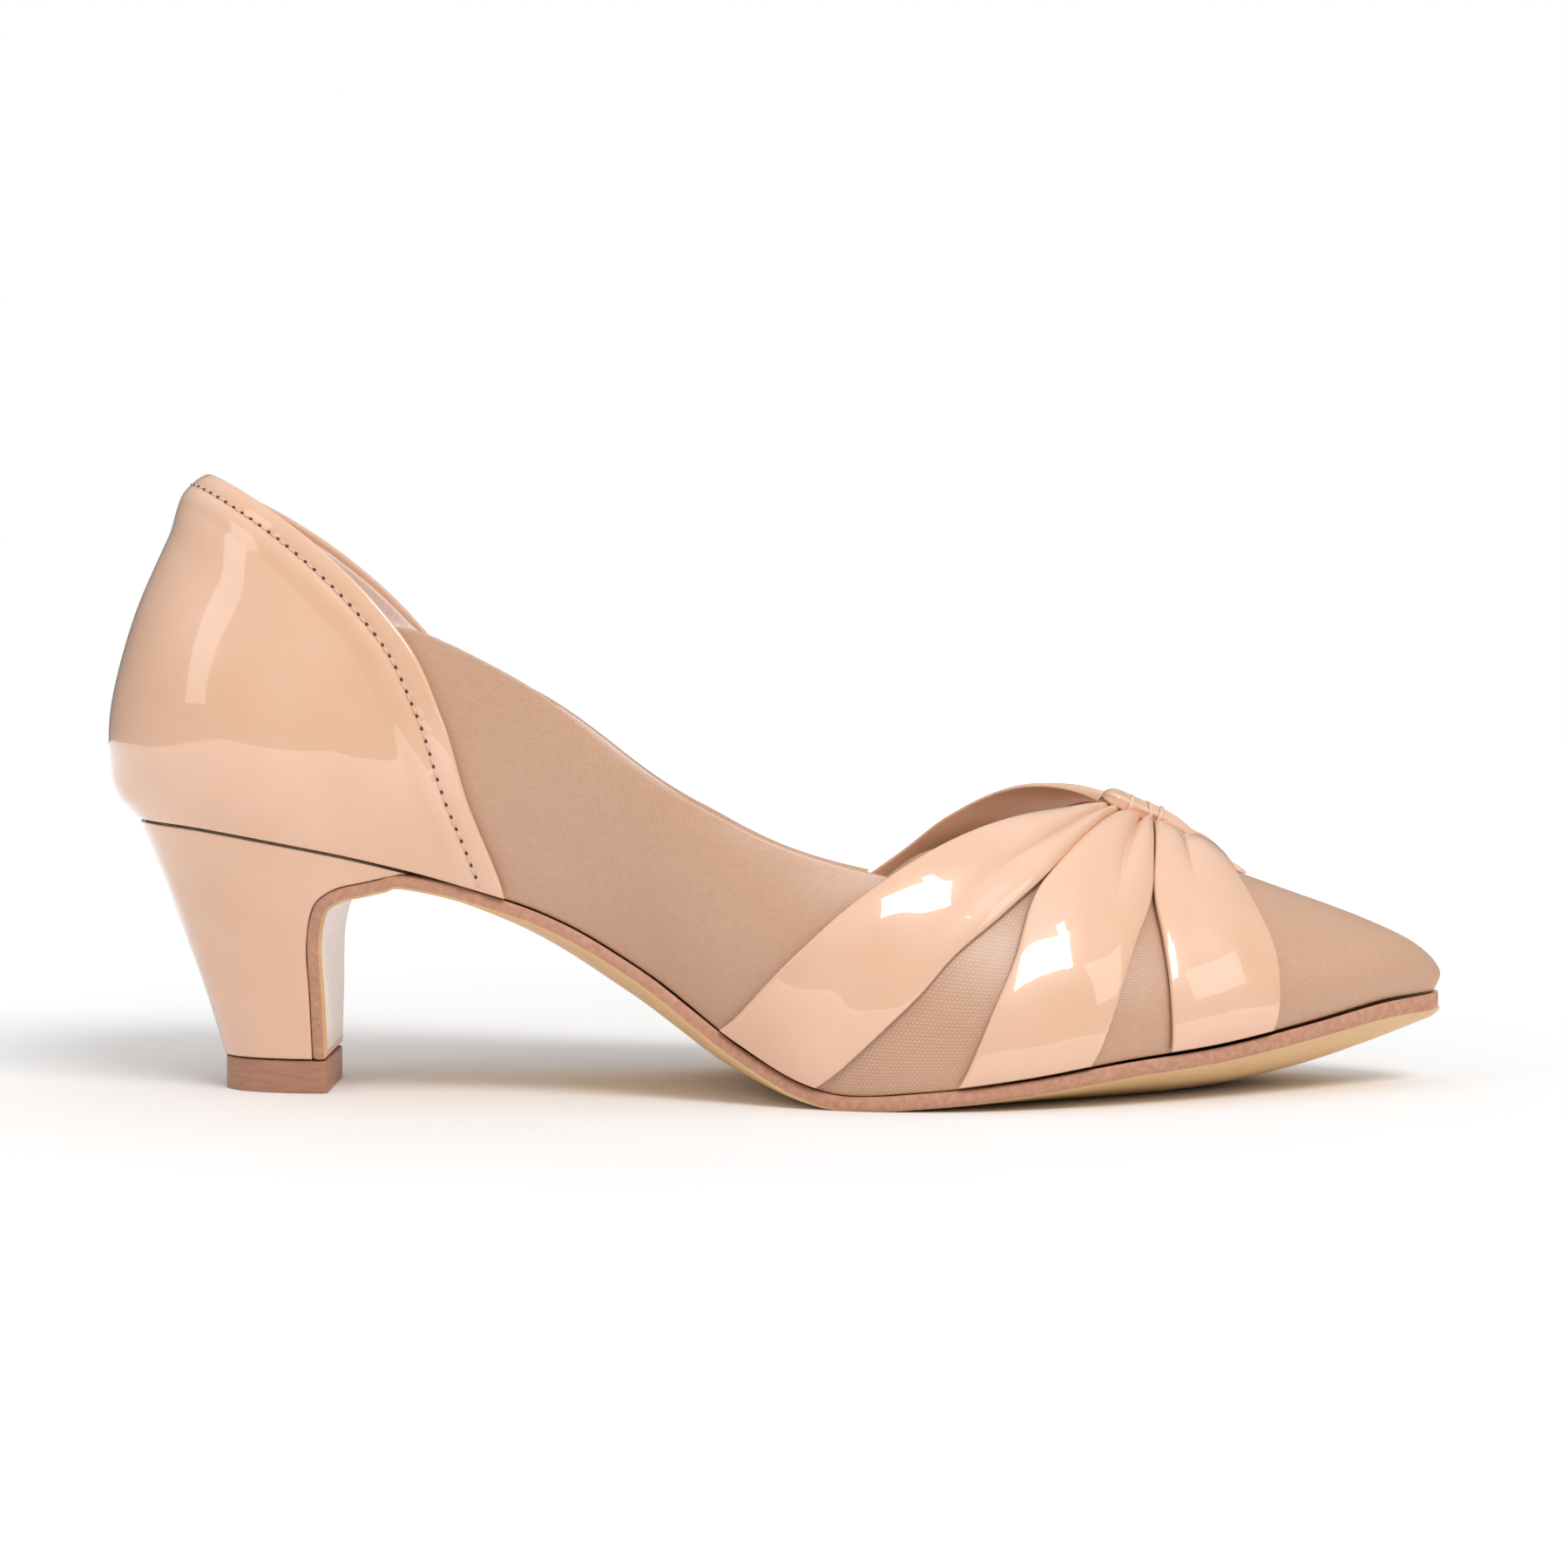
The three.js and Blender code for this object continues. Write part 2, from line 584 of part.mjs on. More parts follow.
function shankStrip() {
  return mappedBox((p, q, k) => {
    const { x } = feather(bedCut(lerp(ROUND_CUTS, SHANK_END, p)), LATERAL);
    const y = (0.5 - q) * SHANK_WIDTH;
    return new THREE.Vector3(x, y, bed(x, y) + SHANK_LOW + k * SHANK);
  }, [SHANK_END - ROUND_CUTS, 2, 1]);
}

function fillerSheet() {
  return mappedBox((p, q, k) => sheetPoint(
    bedCut(lerp(FILLER_START, BED_CUTS - 1, p)), 1 - q, k * SHANK, FILLER_INSET),
  [BED_CUTS - 1 - FILLER_START, ACROSS_CUTS, 1]);
}

// Fastenings, each with the outline of its own body and of the hole it sits in.
const NAIL = { radius: 0.9, head: 2, headHeight: 0.6, length: 16 };
const SCREW = { radius: 2, head: 3.4, headHeight: 0.6, length: 24 };
const HEAD_SUNK = 0.5;
const NAIL_PLACES = [[0.06, -13], [0.06, 13], [0.115, -15], [0.115, 15]];
const SCREW_X = 0.09 * LAST_LENGTH;
const RIVET_RADIUS = 1.5;
const RIVET_PLACES = [0.24, 0.37];

/** A headed pin hanging from the top of the insole board, grown all round by a play. */
function headedPin({ radius, head, headHeight, length }, x, y, play) {
  const top = play > 0 ? FOAM : 0;
  const outline = [
    [0, -length - play],
    [radius + play, -length - play],
    [radius + play, -headHeight - play],
    [head + play, -headHeight - play],
    [head + play, top],
    [0, top],
  ];
  return turned(outline, new THREE.Vector3(x, y, bed(x, y) + BOARD_BASE + INSOLE - HEAD_SUNK));
}

/** A flush rivet square to the insole board, or with play and length the hole for it. */
function rivet(x, play, length) {
  const slope = (bed(x + 1, 0) - bed(x - 1, 0)) / 2;
  const geometry = new THREE.CylinderGeometry(RIVET_RADIUS + play, RIVET_RADIUS + play, length, 14);
  geometry.rotateX(Math.PI / 2);
  geometry.rotateY(-Math.atan(slope));
  geometry.translate(x, 0, bed(x, 0) + (BOARD_BASE + INSOLE) / 2);
  return closed(geometry);
}

const nailAt = ([x, y], play) => headedPin(NAIL, x * LAST_LENGTH, y * GRADE.y, play);
const screwAt = (play) => headedPin(SCREW, SCREW_X, 0, play);
const seatHoles = () => [...NAIL_PLACES.map((place) => nailAt(place, CLEARANCE)), screwAt(CLEARANCE)];
const rivetHoles = () => RIVET_PLACES.map((x) => rivet(x * LAST_LENGTH, CLEARANCE, 6));

function addBottom() {
  const holes = [...seatHoles(), ...rivetHoles()];
  add("shank", without(shankStrip(), [screwAt(CLEARANCE), ...rivetHoles()]), steel);
  add("insole_board", without(bedSheet(BOARD_BASE, BOARD_BASE + INSOLE, false), holes), fibreBoard);
  add("bottom_filler", fillerSheet(), cork);
  add("footbed_foam", bedSheet(FOAM_BASE, FOAM_BASE + FOAM, true), foam);
  add("sock_lining", bedSheet(SOCK_BASE, SOCK_BASE + SOCK, false), liningLeather);
  NAIL_PLACES.forEach((place, i) => add(`heel_nail_${i + 1}`, nailAt(place, 0), steel));
  add("heel_screw", screwAt(0), steel);
  RIVET_PLACES.forEach((x, i) =>
    add(`shank_rivet_${i + 1}`, rivet(x * LAST_LENGTH, 0, 0.9 * (BOARD_BASE + INSOLE)), steel));
}

// ---- Outsole and heel ---------------------------------------------------------------------------

// Side view of the heel's front, from the lip's tip round to the top lift.
const lipZ = bed(LIP_X, 0) - CLEARANCE - LIP_TIP;
const BREAST_FOOT_X = LIFT_FRONT - OUTSOLE;
const breastTop = lipZ - 0.05 * LAST_LENGTH;
const liftTop = LIFT_HEIGHT + CLEARANCE;
const FRONT_LINE = [
  [LIP_X, lipZ],
  [lerp(LIP_X, BREAST_X, 0.4), lipZ - 1.6],
  [lerp(LIP_X, BREAST_X, 0.7), lipZ - 3.4],
  [lerp(LIP_X, BREAST_X, 0.9), lipZ - 6.2],
  [BREAST_X, breastTop],
  [lerp(BREAST_X, BREAST_FOOT_X, 0.35), lerp(breastTop, liftTop, 0.45)],
  [BREAST_FOOT_X, liftTop],
];

const seatOutline = (along) => {
  const side = along < 0.5 ? LATERAL : MEDIAL;
  return feather(slice(LIP_X + 2).a * Math.abs(1 - 2 * along), side);
};

/** The heel's outline at a level (0 at the ground, 1 at the seat), grown by an offset. */
function heelPoint(along, level, grow) {
  const seat = seatOutline(along);
  const trim = SOLE_PROUD + LIFT_PROUD;
  const narrow = (LIFT_WIDTH / 2 - trim) / (26 * GRADE.y);
  const foot = new THREE.Vector3(LIFT_BACK + trim + seat.x * 0.5, seat.y * narrow, 0);
  const point = foot.lerp(seat, Math.max(level, 0) ** HEEL_FLARE);
  const side = along < 0.5 ? LATERAL : MEDIAL;
  point.addScaledVector(outward(slice(LIP_X + 2).a * Math.abs(1 - 2 * along), side), grow);
  point.z = level * seat.z;
  return point;
}

/** The full round of the heel, open towards the toe, before its side view is cut. */
function heelRound(grow, cuts, from = 0, to = 1.03) {
  return mappedBox((p, q, k) => {
    const level = lerp(from, to, q);
    const around = heelPoint(p, level, grow);
    if (k > 0.5) return around;
    const [first, last] = [heelPoint(0, level, grow), heelPoint(1, level, grow)];
    return first.lerp(last, p);
  }, [...cuts, 1]);
}

/** A body with one outline all the way across the shoe. */
function acrossShoe(outline) {
  const shape = new THREE.Shape(outline.map(([x, z]) => new THREE.Vector2(x, z)));
  const width = 2 * BALL_WIDTH;
  const geometry = new THREE.ExtrudeGeometry(shape, { depth: width, bevelEnabled: false });
  geometry.rotateX(Math.PI / 2);
  geometry.translate(0, width / 2, 0);
  return closed(geometry);
}

const frontCurve = new THREE.CatmullRomCurve3(
  FRONT_LINE.map(([x, z]) => new THREE.Vector3(x, 0, z)), false, "centripetal");

function heelSideView() {
  const front = frontCurve.getPoints(14).map((p) => [p.x - CLEARANCE, p.z]);
  const seat = Array.from({ length: 12 }, (_, i) => lerp(front[0][0], -4, i / 11));
  return acrossShoe([
    ...front,
    [-4, liftTop],
    ...seat.reverse().map((x) => [x, bed(x, 0) - CLEARANCE]),
  ]);
}

const PIN = { radius: 1.6, length: 14, sunk: 3 };
const PIN_PLACES = [-4, 4];

function liftPin(y, play) {
  const [low, high] = [LIFT_HEIGHT - PIN.sunk - play, LIFT_HEIGHT - PIN.sunk + PIN.length + play];
  const x = lerp(LIFT_BACK, BREAST_FOOT_X, 0.55);
  return turned([[0, low], [PIN.radius + play, low], [PIN.radius + play, high], [0, high]],
    new THREE.Vector3(x, y, 0));
}

function addHeel() {
  const sideView = heelSideView();
  const coverInner = SOLE_PROUD - HEEL_COVER;
  const pinHoles = PIN_PLACES.map((y) => liftPin(y, CLEARANCE));
  const block = common(heelRound(coverInner - CLEARANCE, [20, 6]), sideView);
  add("heel_block", without(block, [...pinHoles, ...seatHoles()]), heelPlastic);
  const coverWall = without(heelRound(SOLE_PROUD, [20, 6]), [heelRound(coverInner, [20, 6], -0.05, 1.1)]);
  add("heel_cover", common(coverWall, sideView), patentLeather);
  const liftBounds = acrossShoe([[-4, 0], [LIFT_FRONT, 0], [LIFT_FRONT, LIFT_HEIGHT], [-4, LIFT_HEIGHT]]);
  const lift = common(heelRound(SOLE_PROUD + LIFT_PROUD, [20, 1], 0, 0.2), liftBounds);
  add("top_lift", without(lift, pinHoles), liftPlastic);
  PIN_PLACES.forEach((y, i) => add(`top_lift_pin_${i + 1}`, liftPin(y, 0), steel));
}

/** The sole's upper face along its length (0 at the toe tip, 1 at the top lift), edge to edge. */
function soleFace(along, across) {
  const soleShare = 0.72;
  if (along <= soleShare) {
    const a = lerp(1, slice(LIP_X + 6).a, along / soleShare);
    const lateral = feather(a, LATERAL).addScaledVector(outward(a, LATERAL), SOLE_PROUD);
    const medial = feather(a, MEDIAL).addScaledVector(outward(a, MEDIAL), SOLE_PROUD);
    const point = lateral.lerp(medial, across);
    point.z = bed(point.x, point.y) - CLEARANCE;
    return point;
  }
  const centre = frontCurve.getPoint((along - soleShare) / (1 - soleShare));
  const { middle, half } = slice(centre.x);
  const level = clamp(centre.z / seatAt(centre.x), 0, 1) ** HEEL_FLARE;
  const reach = lerp(LIFT_WIDTH / 2 - LIFT_PROUD, half + SOLE_PROUD, level);
  centre.y = lerp(0, middle, level) + (2 * across - 1) * reach;
  return centre;
}

function addOutsole() {
  const step = 0.004;
  const geometry = mappedBox((p, q, k) => {
    const face = soleFace(p, q);
    const before = soleFace(clamp(p, step, 1 - step) - step, q);
    const after = soleFace(clamp(p, step, 1 - step) + step, q);
    const down = new THREE.Vector3(before.z - after.z, 0, after.x - before.x).normalize();
    face.addScaledVector(down, OUTSOLE * k);
    face.z = Math.max(face.z, 0);
    return face;
  }, [44, 6, 1]);
  add("outsole", geometry, paintedSole);
}

// ---- Assembly -----------------------------------------------------------------------------------

addOutsole();
addHeel();
addBottom();
addBack();
addVamp();
for (const [name, side] of Object.entries(SIDES)) {
  addHeelQuarter(name, side);
  addSatinQuarter(name, side);
  for (const band of Object.keys(BANDS)) addBand(band, name, side);
}
addWrap();

const bounds = new THREE.Box3().setFromObject(shoe);
const middle = bounds.getCenter(new THREE.Vector3());
for (const mesh of shoe.children) mesh.geometry.translate(-middle.x, -middle.y, -bounds.min.z);

export default shoe;
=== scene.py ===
"""A women's pointed court shoe on a covered block heel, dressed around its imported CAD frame.

The upper is satin. A patent heel quarter lies on each side of it, and three pleated patent bands a
side gather under a wrap on the vamp. Lengths in the classes are in millimetres, in the last maker's
pattern frame: x from the back of the heel seat, y to the inner (medial) side, z from the ground.
`Last.settle` turns them into metres in the CAD frame.
"""

import logging
import math
from dataclasses import dataclass, field
from enum import Enum
from typing import Callable

import bmesh
import bpy
import numpy as np
from mathutils import Matrix, Vector


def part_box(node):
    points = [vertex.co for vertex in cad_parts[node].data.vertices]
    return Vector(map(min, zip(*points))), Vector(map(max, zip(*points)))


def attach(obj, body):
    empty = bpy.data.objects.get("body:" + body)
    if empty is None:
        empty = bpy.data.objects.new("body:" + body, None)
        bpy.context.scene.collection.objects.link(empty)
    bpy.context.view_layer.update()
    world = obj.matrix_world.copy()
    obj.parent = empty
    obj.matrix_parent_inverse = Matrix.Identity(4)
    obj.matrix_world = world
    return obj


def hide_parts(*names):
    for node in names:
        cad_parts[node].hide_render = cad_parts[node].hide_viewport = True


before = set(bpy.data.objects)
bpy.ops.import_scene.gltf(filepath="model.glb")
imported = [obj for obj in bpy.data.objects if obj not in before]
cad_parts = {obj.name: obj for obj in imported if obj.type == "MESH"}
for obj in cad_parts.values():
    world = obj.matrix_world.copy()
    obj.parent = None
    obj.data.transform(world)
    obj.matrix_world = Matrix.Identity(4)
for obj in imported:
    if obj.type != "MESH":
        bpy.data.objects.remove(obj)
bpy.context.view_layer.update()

Array = np.ndarray
# Gives pattern points from grid shares p and q and depth k, 0 at the inner face and 1 at the outer.
Face = Callable[[Array, Array, Array], Array]
log = logging.getLogger("court_shoe")

# One millimetre, in metres.
MM = 0.001


class Side(Enum):
    """A side of the foot, as the sign of its y."""

    LATERAL = -1
    MEDIAL = 1

    @property
    def word(self) -> str:
        """The side's name as the CAD nodes spell it."""
        return self.name.lower()


class Border(Enum):
    """How the border of a sheet is cut, as (inset, rise) steps from its middle to its face."""

    ROUND = "round"
    BEAD = "bead"

    def steps(self) -> list[tuple[float, float]]:
        """The steps, each from 0 to 1 of the border's radius and of the half thickness."""
        if self is Border.BEAD:
            return [(0.0, 0.0), (0.03, 0.45), (0.1, 0.75), (0.24, 0.93), (0.47, 0.985), (1.0, 1.0)]
        turns = [0.0, 0.25, 0.5, 0.75, 1.0]
        return [(1 - math.cos(turn * math.pi / 2), math.sin(turn * math.pi / 2)) for turn in turns]


# ---- Numbers and curves ---------------------------------------------------------------------------


def ease(value: Array, low: float, high: float) -> Array:
    """A smooth step from 0 at low to 1 at high."""
    share = np.clip((value - low) / (high - low), 0, 1)
    return share * share * (3 - 2 * share)


def mix(first: Array | float, second: Array | float, share: Array | float) -> Array:
    """The value between two others."""
    return first + (second - first) * share


def unit(vectors: Array) -> Array:
    """Vectors at length 1."""
    return vectors / np.maximum(np.linalg.norm(vectors, axis=-1, keepdims=True), 1e-12)


def over(side: Array | int, share: Array) -> Array:
    """The place b over the foot of a share of the way up one side's wall."""
    return np.where(np.asarray(side) < 0, share / 2, 1 - share / 2)


def wall_of(b: Array) -> tuple[Array, Array]:
    """The side of places b over the foot, and their share of the way up its wall."""
    return np.where(b <= 0.5, -1, 1), np.where(b <= 0.5, 2 * b, 2 * (1 - b))


def ripple(u: Array, v: Array, seed: float) -> Array:
    """A slow uneven wave.

    Args:
        u: Place along the first direction.
        v: Place along the second.
        seed: Picks the wave.

    Returns:
        Values between about -1 and 1.
    """
    first = np.sin(2.1 * u + 3.7 * v + seed) + np.sin(4.3 * u - 2.9 * v + 2.3 * seed)
    second = np.sin(-5.9 * u + 5.1 * v + 1.7 * seed) + np.sin(8.2 * u + 1.3 * v + 0.6 * seed)
    return (first + 0.6 * second) / 3.2


def rounded(share: Array) -> Array:
    """The height of a round end, from almost 0 at share 0 to 1 from share 1 on."""
    return np.sqrt(np.clip(1 - (1 - np.clip(share, 0, 1)) ** 2, 0.02, 1))


def halve(low: Array, high: Array, below: Callable[[Array], Array], rounds: int) -> Array:
    """Closes in on the value where a test stops holding.

    Args:
        low: Values where it holds.
        high: Values where it does not.
        below: The test.
        rounds: How often the span is halved.

    Returns:
        The middle of the last span.
    """
    for _ in range(rounds):
        middle = (low + high) / 2
        holds = below(middle)
        low = np.where(holds, middle, low)
        high = np.where(holds, high, middle)
    return (low + high) / 2


@dataclass
class Spline:
    """A smooth line through points, from 0 at the first to 1 at the last.

    Attributes:
        points: The points, one a row.
        closed: Whether the line comes back to its first point.
        clamped: Whether the end points stand in for the missing ones beyond them.
        centripetal: Whether the line spaces its tangents by the distances of the points.
    """

    points: Array
    closed: bool = False
    clamped: bool = False
    centripetal: bool = False

    def _corner(self, index: Array) -> Array:
        """The points of some indices.

        Args:
            index: Indices, which may be one step beyond the ends.

        Returns:
            One point for each.
        """
        count = len(self.points)
        if self.closed:
            return self.points[index % count]
        if self.clamped:
            return self.points[np.clip(index, 0, count - 1)]
        before = 2 * self.points[0] - self.points[1]
        beyond = 2 * self.points[-1] - self.points[-2]
        inside = self.points[np.clip(index, 0, count - 1)]
        inside = np.where((index < 0)[..., None], before, inside)
        return np.where((index > count - 1)[..., None], beyond, inside)

    def at(self, share: Array) -> Array:
        """The points at shares of the way along.

        Args:
            share: Any shape of values from 0 to 1.

        Returns:
            That shape, with the coordinates as one more axis.
        """
        spans = len(self.points) - (0 if self.closed else 1)
        place = np.asarray(share, float) * spans
        start = np.floor(place).astype(int)
        if not self.closed:
            start = np.clip(start, 0, spans - 1)
        step = (place - start)[..., None]
        corners = [self._corner(start + i) for i in (-1, 0, 1, 2)]
        a, b, c, d = corners
        if self.centripetal:
            steps = [y - x for x, y in zip(corners, corners[1:])]
            gaps = [np.linalg.norm(gap, axis=-1, keepdims=True) ** 0.5 for gap in steps]
            e, f, g = [np.maximum(gap, 1e-4) for gap in gaps]
            out = ((b - a) / e - (c - a) / (e + f) + (c - b) / f) * f
            into = ((c - b) / f - (d - b) / (f + g) + (d - c) / g) * f
        else:
            out, into = (c - a) / 2, (d - b) / 2
        square = -3 * b + 3 * c - 2 * out - into
        cube = 2 * b - 2 * c + out + into
        return b + out * step + square * step**2 + cube * step**3


@dataclass
class Line:
    """A smooth function through points, held level beyond both ends.

    Attributes:
        places: Rising values to look up.
        values: What the function gives there.
        level_end: Whether it arrives level at the last point.
    """

    places: Array
    values: Array
    level_end: bool = False

    def __call__(self, value: Array) -> Array:
        """Looks values up, by cubic pieces between the points.

        Args:
            value: The values to look up.

        Returns:
            What the function gives for each.
        """
        gaps = np.diff(self.places)
        slopes = np.diff(self.values) / gaps
        middle = (slopes[:-1] * gaps[1:] + slopes[1:] * gaps[:-1]) / (gaps[1:] + gaps[:-1])
        last = 0.0 if self.level_end else slopes[-1]
        tangents = np.concatenate([[slopes[0]], middle, [last]])
        value = np.clip(value, self.places[0], self.places[-1])
        i = np.clip(np.searchsorted(self.places, value, side="right") - 1, 0, len(gaps) - 1)
        t = (value - self.places[i]) / gaps[i]
        out, into = tangents[i] * gaps[i], tangents[i + 1] * gaps[i]
        low, high = self.values[i], self.values[i + 1]
        square = 3 * (high - low) - 2 * out - into
        return low + out * t + square * t**2 + (out + into - 2 * (high - low)) * t**3


# ---- The last -------------------------------------------------------------------------------------

# Stations from the heel seat to the toe tip:
# x, feather line height, its distance on the outer and inner side, sag of the bottom, crown line
# back and up from the feather line, its y, and the wall's lean, rise and span.
STATIONS = (
    (0, 47.1, 0, 0, 0, 0, 0, 0, 0, 0, 0),
    (0.9, 47.1, 6.5, 6.5, 0, 4.6, 3.9, 0, 1.5, 2, 4),
    (4.5, 46.9, 14, 14, 0, 9.7, 10.4, 0, 4, 6, 10),
    (13.3, 46.1, 21, 21, 0, 17.8, 22.6, 0, 7, 13, 16),
    (27.3, 43.8, 25.3, 25, 0, 27.6, 40, 0, 9, 22, 21),
    (43.3, 40.6, 26.3, 25, 0, 37.4, 57.3, 0, 10, 28, 22),
    (59.3, 36.4, 26, 24, 1.2, 47.6, 72, 0, 10, 32, 23),
    (77.3, 30.2, 25.5, 23, 2.6, 44, 82, 0, 11, 32, 27),
    (94.3, 20, 26, 23.5, 3, 31, 81, 0, 12, 30, 32),
    (110.3, 7.8, 29.5, 27, 2.4, 17, 77, 0, 10, 26, 33),
    (125.3, 0.2, 34.5, 31.5, 0.6, 6, 70, 0.3, 7, 20, 31),
    (142.3, 0.5, 38, 35.5, 0.9, -1, 58.5, 0.7, 5, 14, 27),
    (160.3, 2.6, 37, 37, 3, -3, 47, 1.1, 5, 11, 23),
    (178.3, 5.4, 32, 35, 5.6, -2, 38.2, 1.8, 5, 10, 19),
    (196.3, 7.4, 24, 29, 5.8, 0, 31.2, 2.5, 5, 9, 16),
    (213.3, 10.5, 15, 21.5, 5.3, 1, 22.5, 3.1, 4.5, 7, 12),
    (227.3, 13.4, 6.8, 13.8, 3.6, 1, 14.4, 3.5, 3.5, 5, 8),
    (235.3, 14.2, 1.2, 8.8, 1.4, -0.5, 8.8, 3.7, 2, 3, 4.5),
    (238.3, 14.4, -1, 6.6, 0.5, -2, 3.8, 3.8, 0.8, 1.2, 2),
    (239.1, 14.4, -3.8, 3.8, 0, 0, 0, 3.8, 0, 0, 0),
)


@dataclass
class Last:
    """The foot form that every piece is laid on.

    Attributes:
        length: From heel seat to toe tip.
        tread: Height of the feather line where the tread meets the ground.
        pin: A top lift pin's axis in the pattern, which places the pattern in the CAD frame.
        shift: From the pattern to the CAD frame, in millimetres.
    """

    length: float = 239
    tread: float = 3.0
    pin: tuple[float, float] = (24.524, -4)
    shift: Array = field(init=False)

    def __post_init__(self) -> None:
        """Draws the curves of the last and finds its place in the CAD frame."""
        x, z, lat, med, drop, back, up, y, lean, rise, span = np.array(STATIONS, float).T
        feather = self.tread + z
        outer = np.stack([x, -lat, feather], axis=1)
        inner = np.stack([x, med, feather], axis=1)[1:-1][::-1]
        self.ring = Spline(np.concatenate([outer, inner]), closed=True)
        self.crown = Spline(np.stack([x - back, y, feather + up], axis=1))
        self.form = Spline(np.stack([lean, rise, span], axis=1))
        self.sag = Spline(drop[:, None])
        low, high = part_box("top_lift_pin_1")
        middle = (np.array(low) + np.array(high)) / 2 / MM
        self.shift = np.array([middle[0] - self.pin[0], middle[1] - self.pin[1], 0])
        share = np.linspace(0, 1, 241)
        sides = self.feather(share, -1), self.feather(share, 1)
        self._x, self._z = sides[0][:, 0], sides[0][:, 2]
        self._a = share
        self._middle = (sides[0][:, 1] + sides[1][:, 1]) / 2
        self._half = (sides[1][:, 1] - sides[0][:, 1]) / 2
        self._drop = np.maximum(self.sag.at(share)[:, 0], 0)

    def settle(self, points: Array) -> Array:
        """Pattern millimetres as metres in the CAD frame."""
        return (points + self.shift) * MM

    def feather(self, a: Array, side: Array | int) -> Array:
        """The feather line on one side, from the heel seat to the toe tip."""
        return self.ring.at(np.where(np.asarray(side) < 0, a / 2, (1 - a / 2) % 1))

    def outward(self, a: Array, side: Array | int) -> Array:
        """The level direction away from the foot at the feather line.

        Args:
            a: Places along the last.
            side: The sign of the side.

        Returns:
            Directions of length 1.
        """
        step = 5e-4
        u = np.where(np.asarray(side) < 0, a / 2, 1 - a / 2)
        along = self.ring.at((u + step) % 1) - self.ring.at((u - step + 1) % 1)
        return unit(np.stack([along[..., 1], -along[..., 0], np.zeros_like(u)], axis=-1))

    def wall(self, a: Array, t: Array, side: Array | int) -> Array:
        """Points of the side wall.

        Args:
            a: Places along the last.
            t: Shares of the way up, 0 on the feather line and 1 on the crown line.
            side: The sign of the side.

        Returns:
            Pattern points.
        """
        foot, top = self.feather(a, side), self.crown.at(a)
        form = np.maximum(self.form.at(a), 0)
        low = foot + self.outward(a, side) * form[..., :1]
        low[..., 2] += form[..., 1]
        high = top.copy()
        high[..., 1] += side * form[..., 2]
        t = np.asarray(t)[..., None]
        return foot * (1 - t) ** 3 + 3 * low * t * (1 - t) ** 2 + 3 * high * t**2 * (1 - t) + top * t**3

    def point(self, a: Array, b: Array) -> Array:
        """A point of the last; b runs from the lateral feather line over to the medial one."""
        side, t = wall_of(b)
        return self.wall(a, t, side)

    def lay(self, a: Array, b: Array) -> Array:
        """The direction in which the layers of the upper lie on each other.

        Args:
            a: Places along the last.
            b: Places over the foot.

        Returns:
            Directions of length 1: level at the feather line, square to the last above it.
        """
        step = 1e-3
        near, across = np.clip(a, 0.01, 0.99), np.clip(b, step, 1 - step)
        along_a = self.point(near + step, across) - self.point(near - step, across)
        along_b = self.point(near, across + step) - self.point(near, across - step)
        normal = unit(np.cross(along_a, along_b))
        side, t = wall_of(b)
        end = np.zeros(a.shape + (3,))
        end[..., 0] = np.where(a < 0.5, -1, 1)
        level = unit(mix(self.outward(a, side), end, t[..., None]))
        height = self.point(a, b)[..., 2] - self.feather(a, side)[..., 2]
        return unit(mix(level, normal, ease(height, 0, 8)[..., None]))

    def layer(self, a: Array, b: Array, offset: Array | float) -> Array:
        """A point at an offset from the outer face of the satin."""
        a, b, offset = np.broadcast_arrays(*(np.asarray(v, float) for v in (a, b, offset)))
        return self.point(a, b) + self.lay(a, b) * offset[..., None]

    def place_at(self, x: Array) -> Array:
        """The place a along the last over pattern x."""
        return np.interp(x, self._x, self._a)

    def seat(self, x: Array) -> Array:
        """Height of the feather line over pattern x."""
        return np.interp(x, self._x, self._z)

    def width(self, x: Array) -> tuple[Array, Array]:
        """The bottom's middle y and half width over pattern x."""
        return np.interp(x, self._x, self._middle), np.interp(x, self._x, self._half)

    def sag_at(self, x: Array) -> Array:
        """How far the bottom sags in its middle over pattern x."""
        return np.interp(x, self._x, self._drop)

    def bed(self, x: Array, y: Array) -> Array:
        """Height of the last's bottom.

        Args:
            x: Pattern x of points of the plan.
            y: Their y.

        Returns:
            A height for each.
        """
        middle, half = self.width(x)
        across = np.where(half > 1, (y - middle) / np.maximum(half, 1e-6), 1)
        return self.seat(x) - self.sag_at(x) * np.maximum(0, 1 - across**2)

    def marks(self, points: list, side: Side, share: float = 1) -> Array:
        """Places (a, t) on a wall of points drawn in side view.

        Args:
            points: Pattern x and height above the feather line, for each point.
            side: The wall.
            share: Scale of the heights.

        Returns:
            One (a, t) a row.
        """
        x, height = np.array(points, float).T
        a, t = np.clip(x / self.length, 0.1, 0.9), np.full(len(x), 0.4)
        step = 1e-4

        def gap(at_a: Array, at_t: Array) -> Array:
            """How far points of the wall are from the drawn ones, in x and in height."""
            p = self.wall(at_a, at_t, side.value)
            return np.stack([p[:, 0] - x, p[:, 2] - self.seat(p[:, 0]) - height * share])

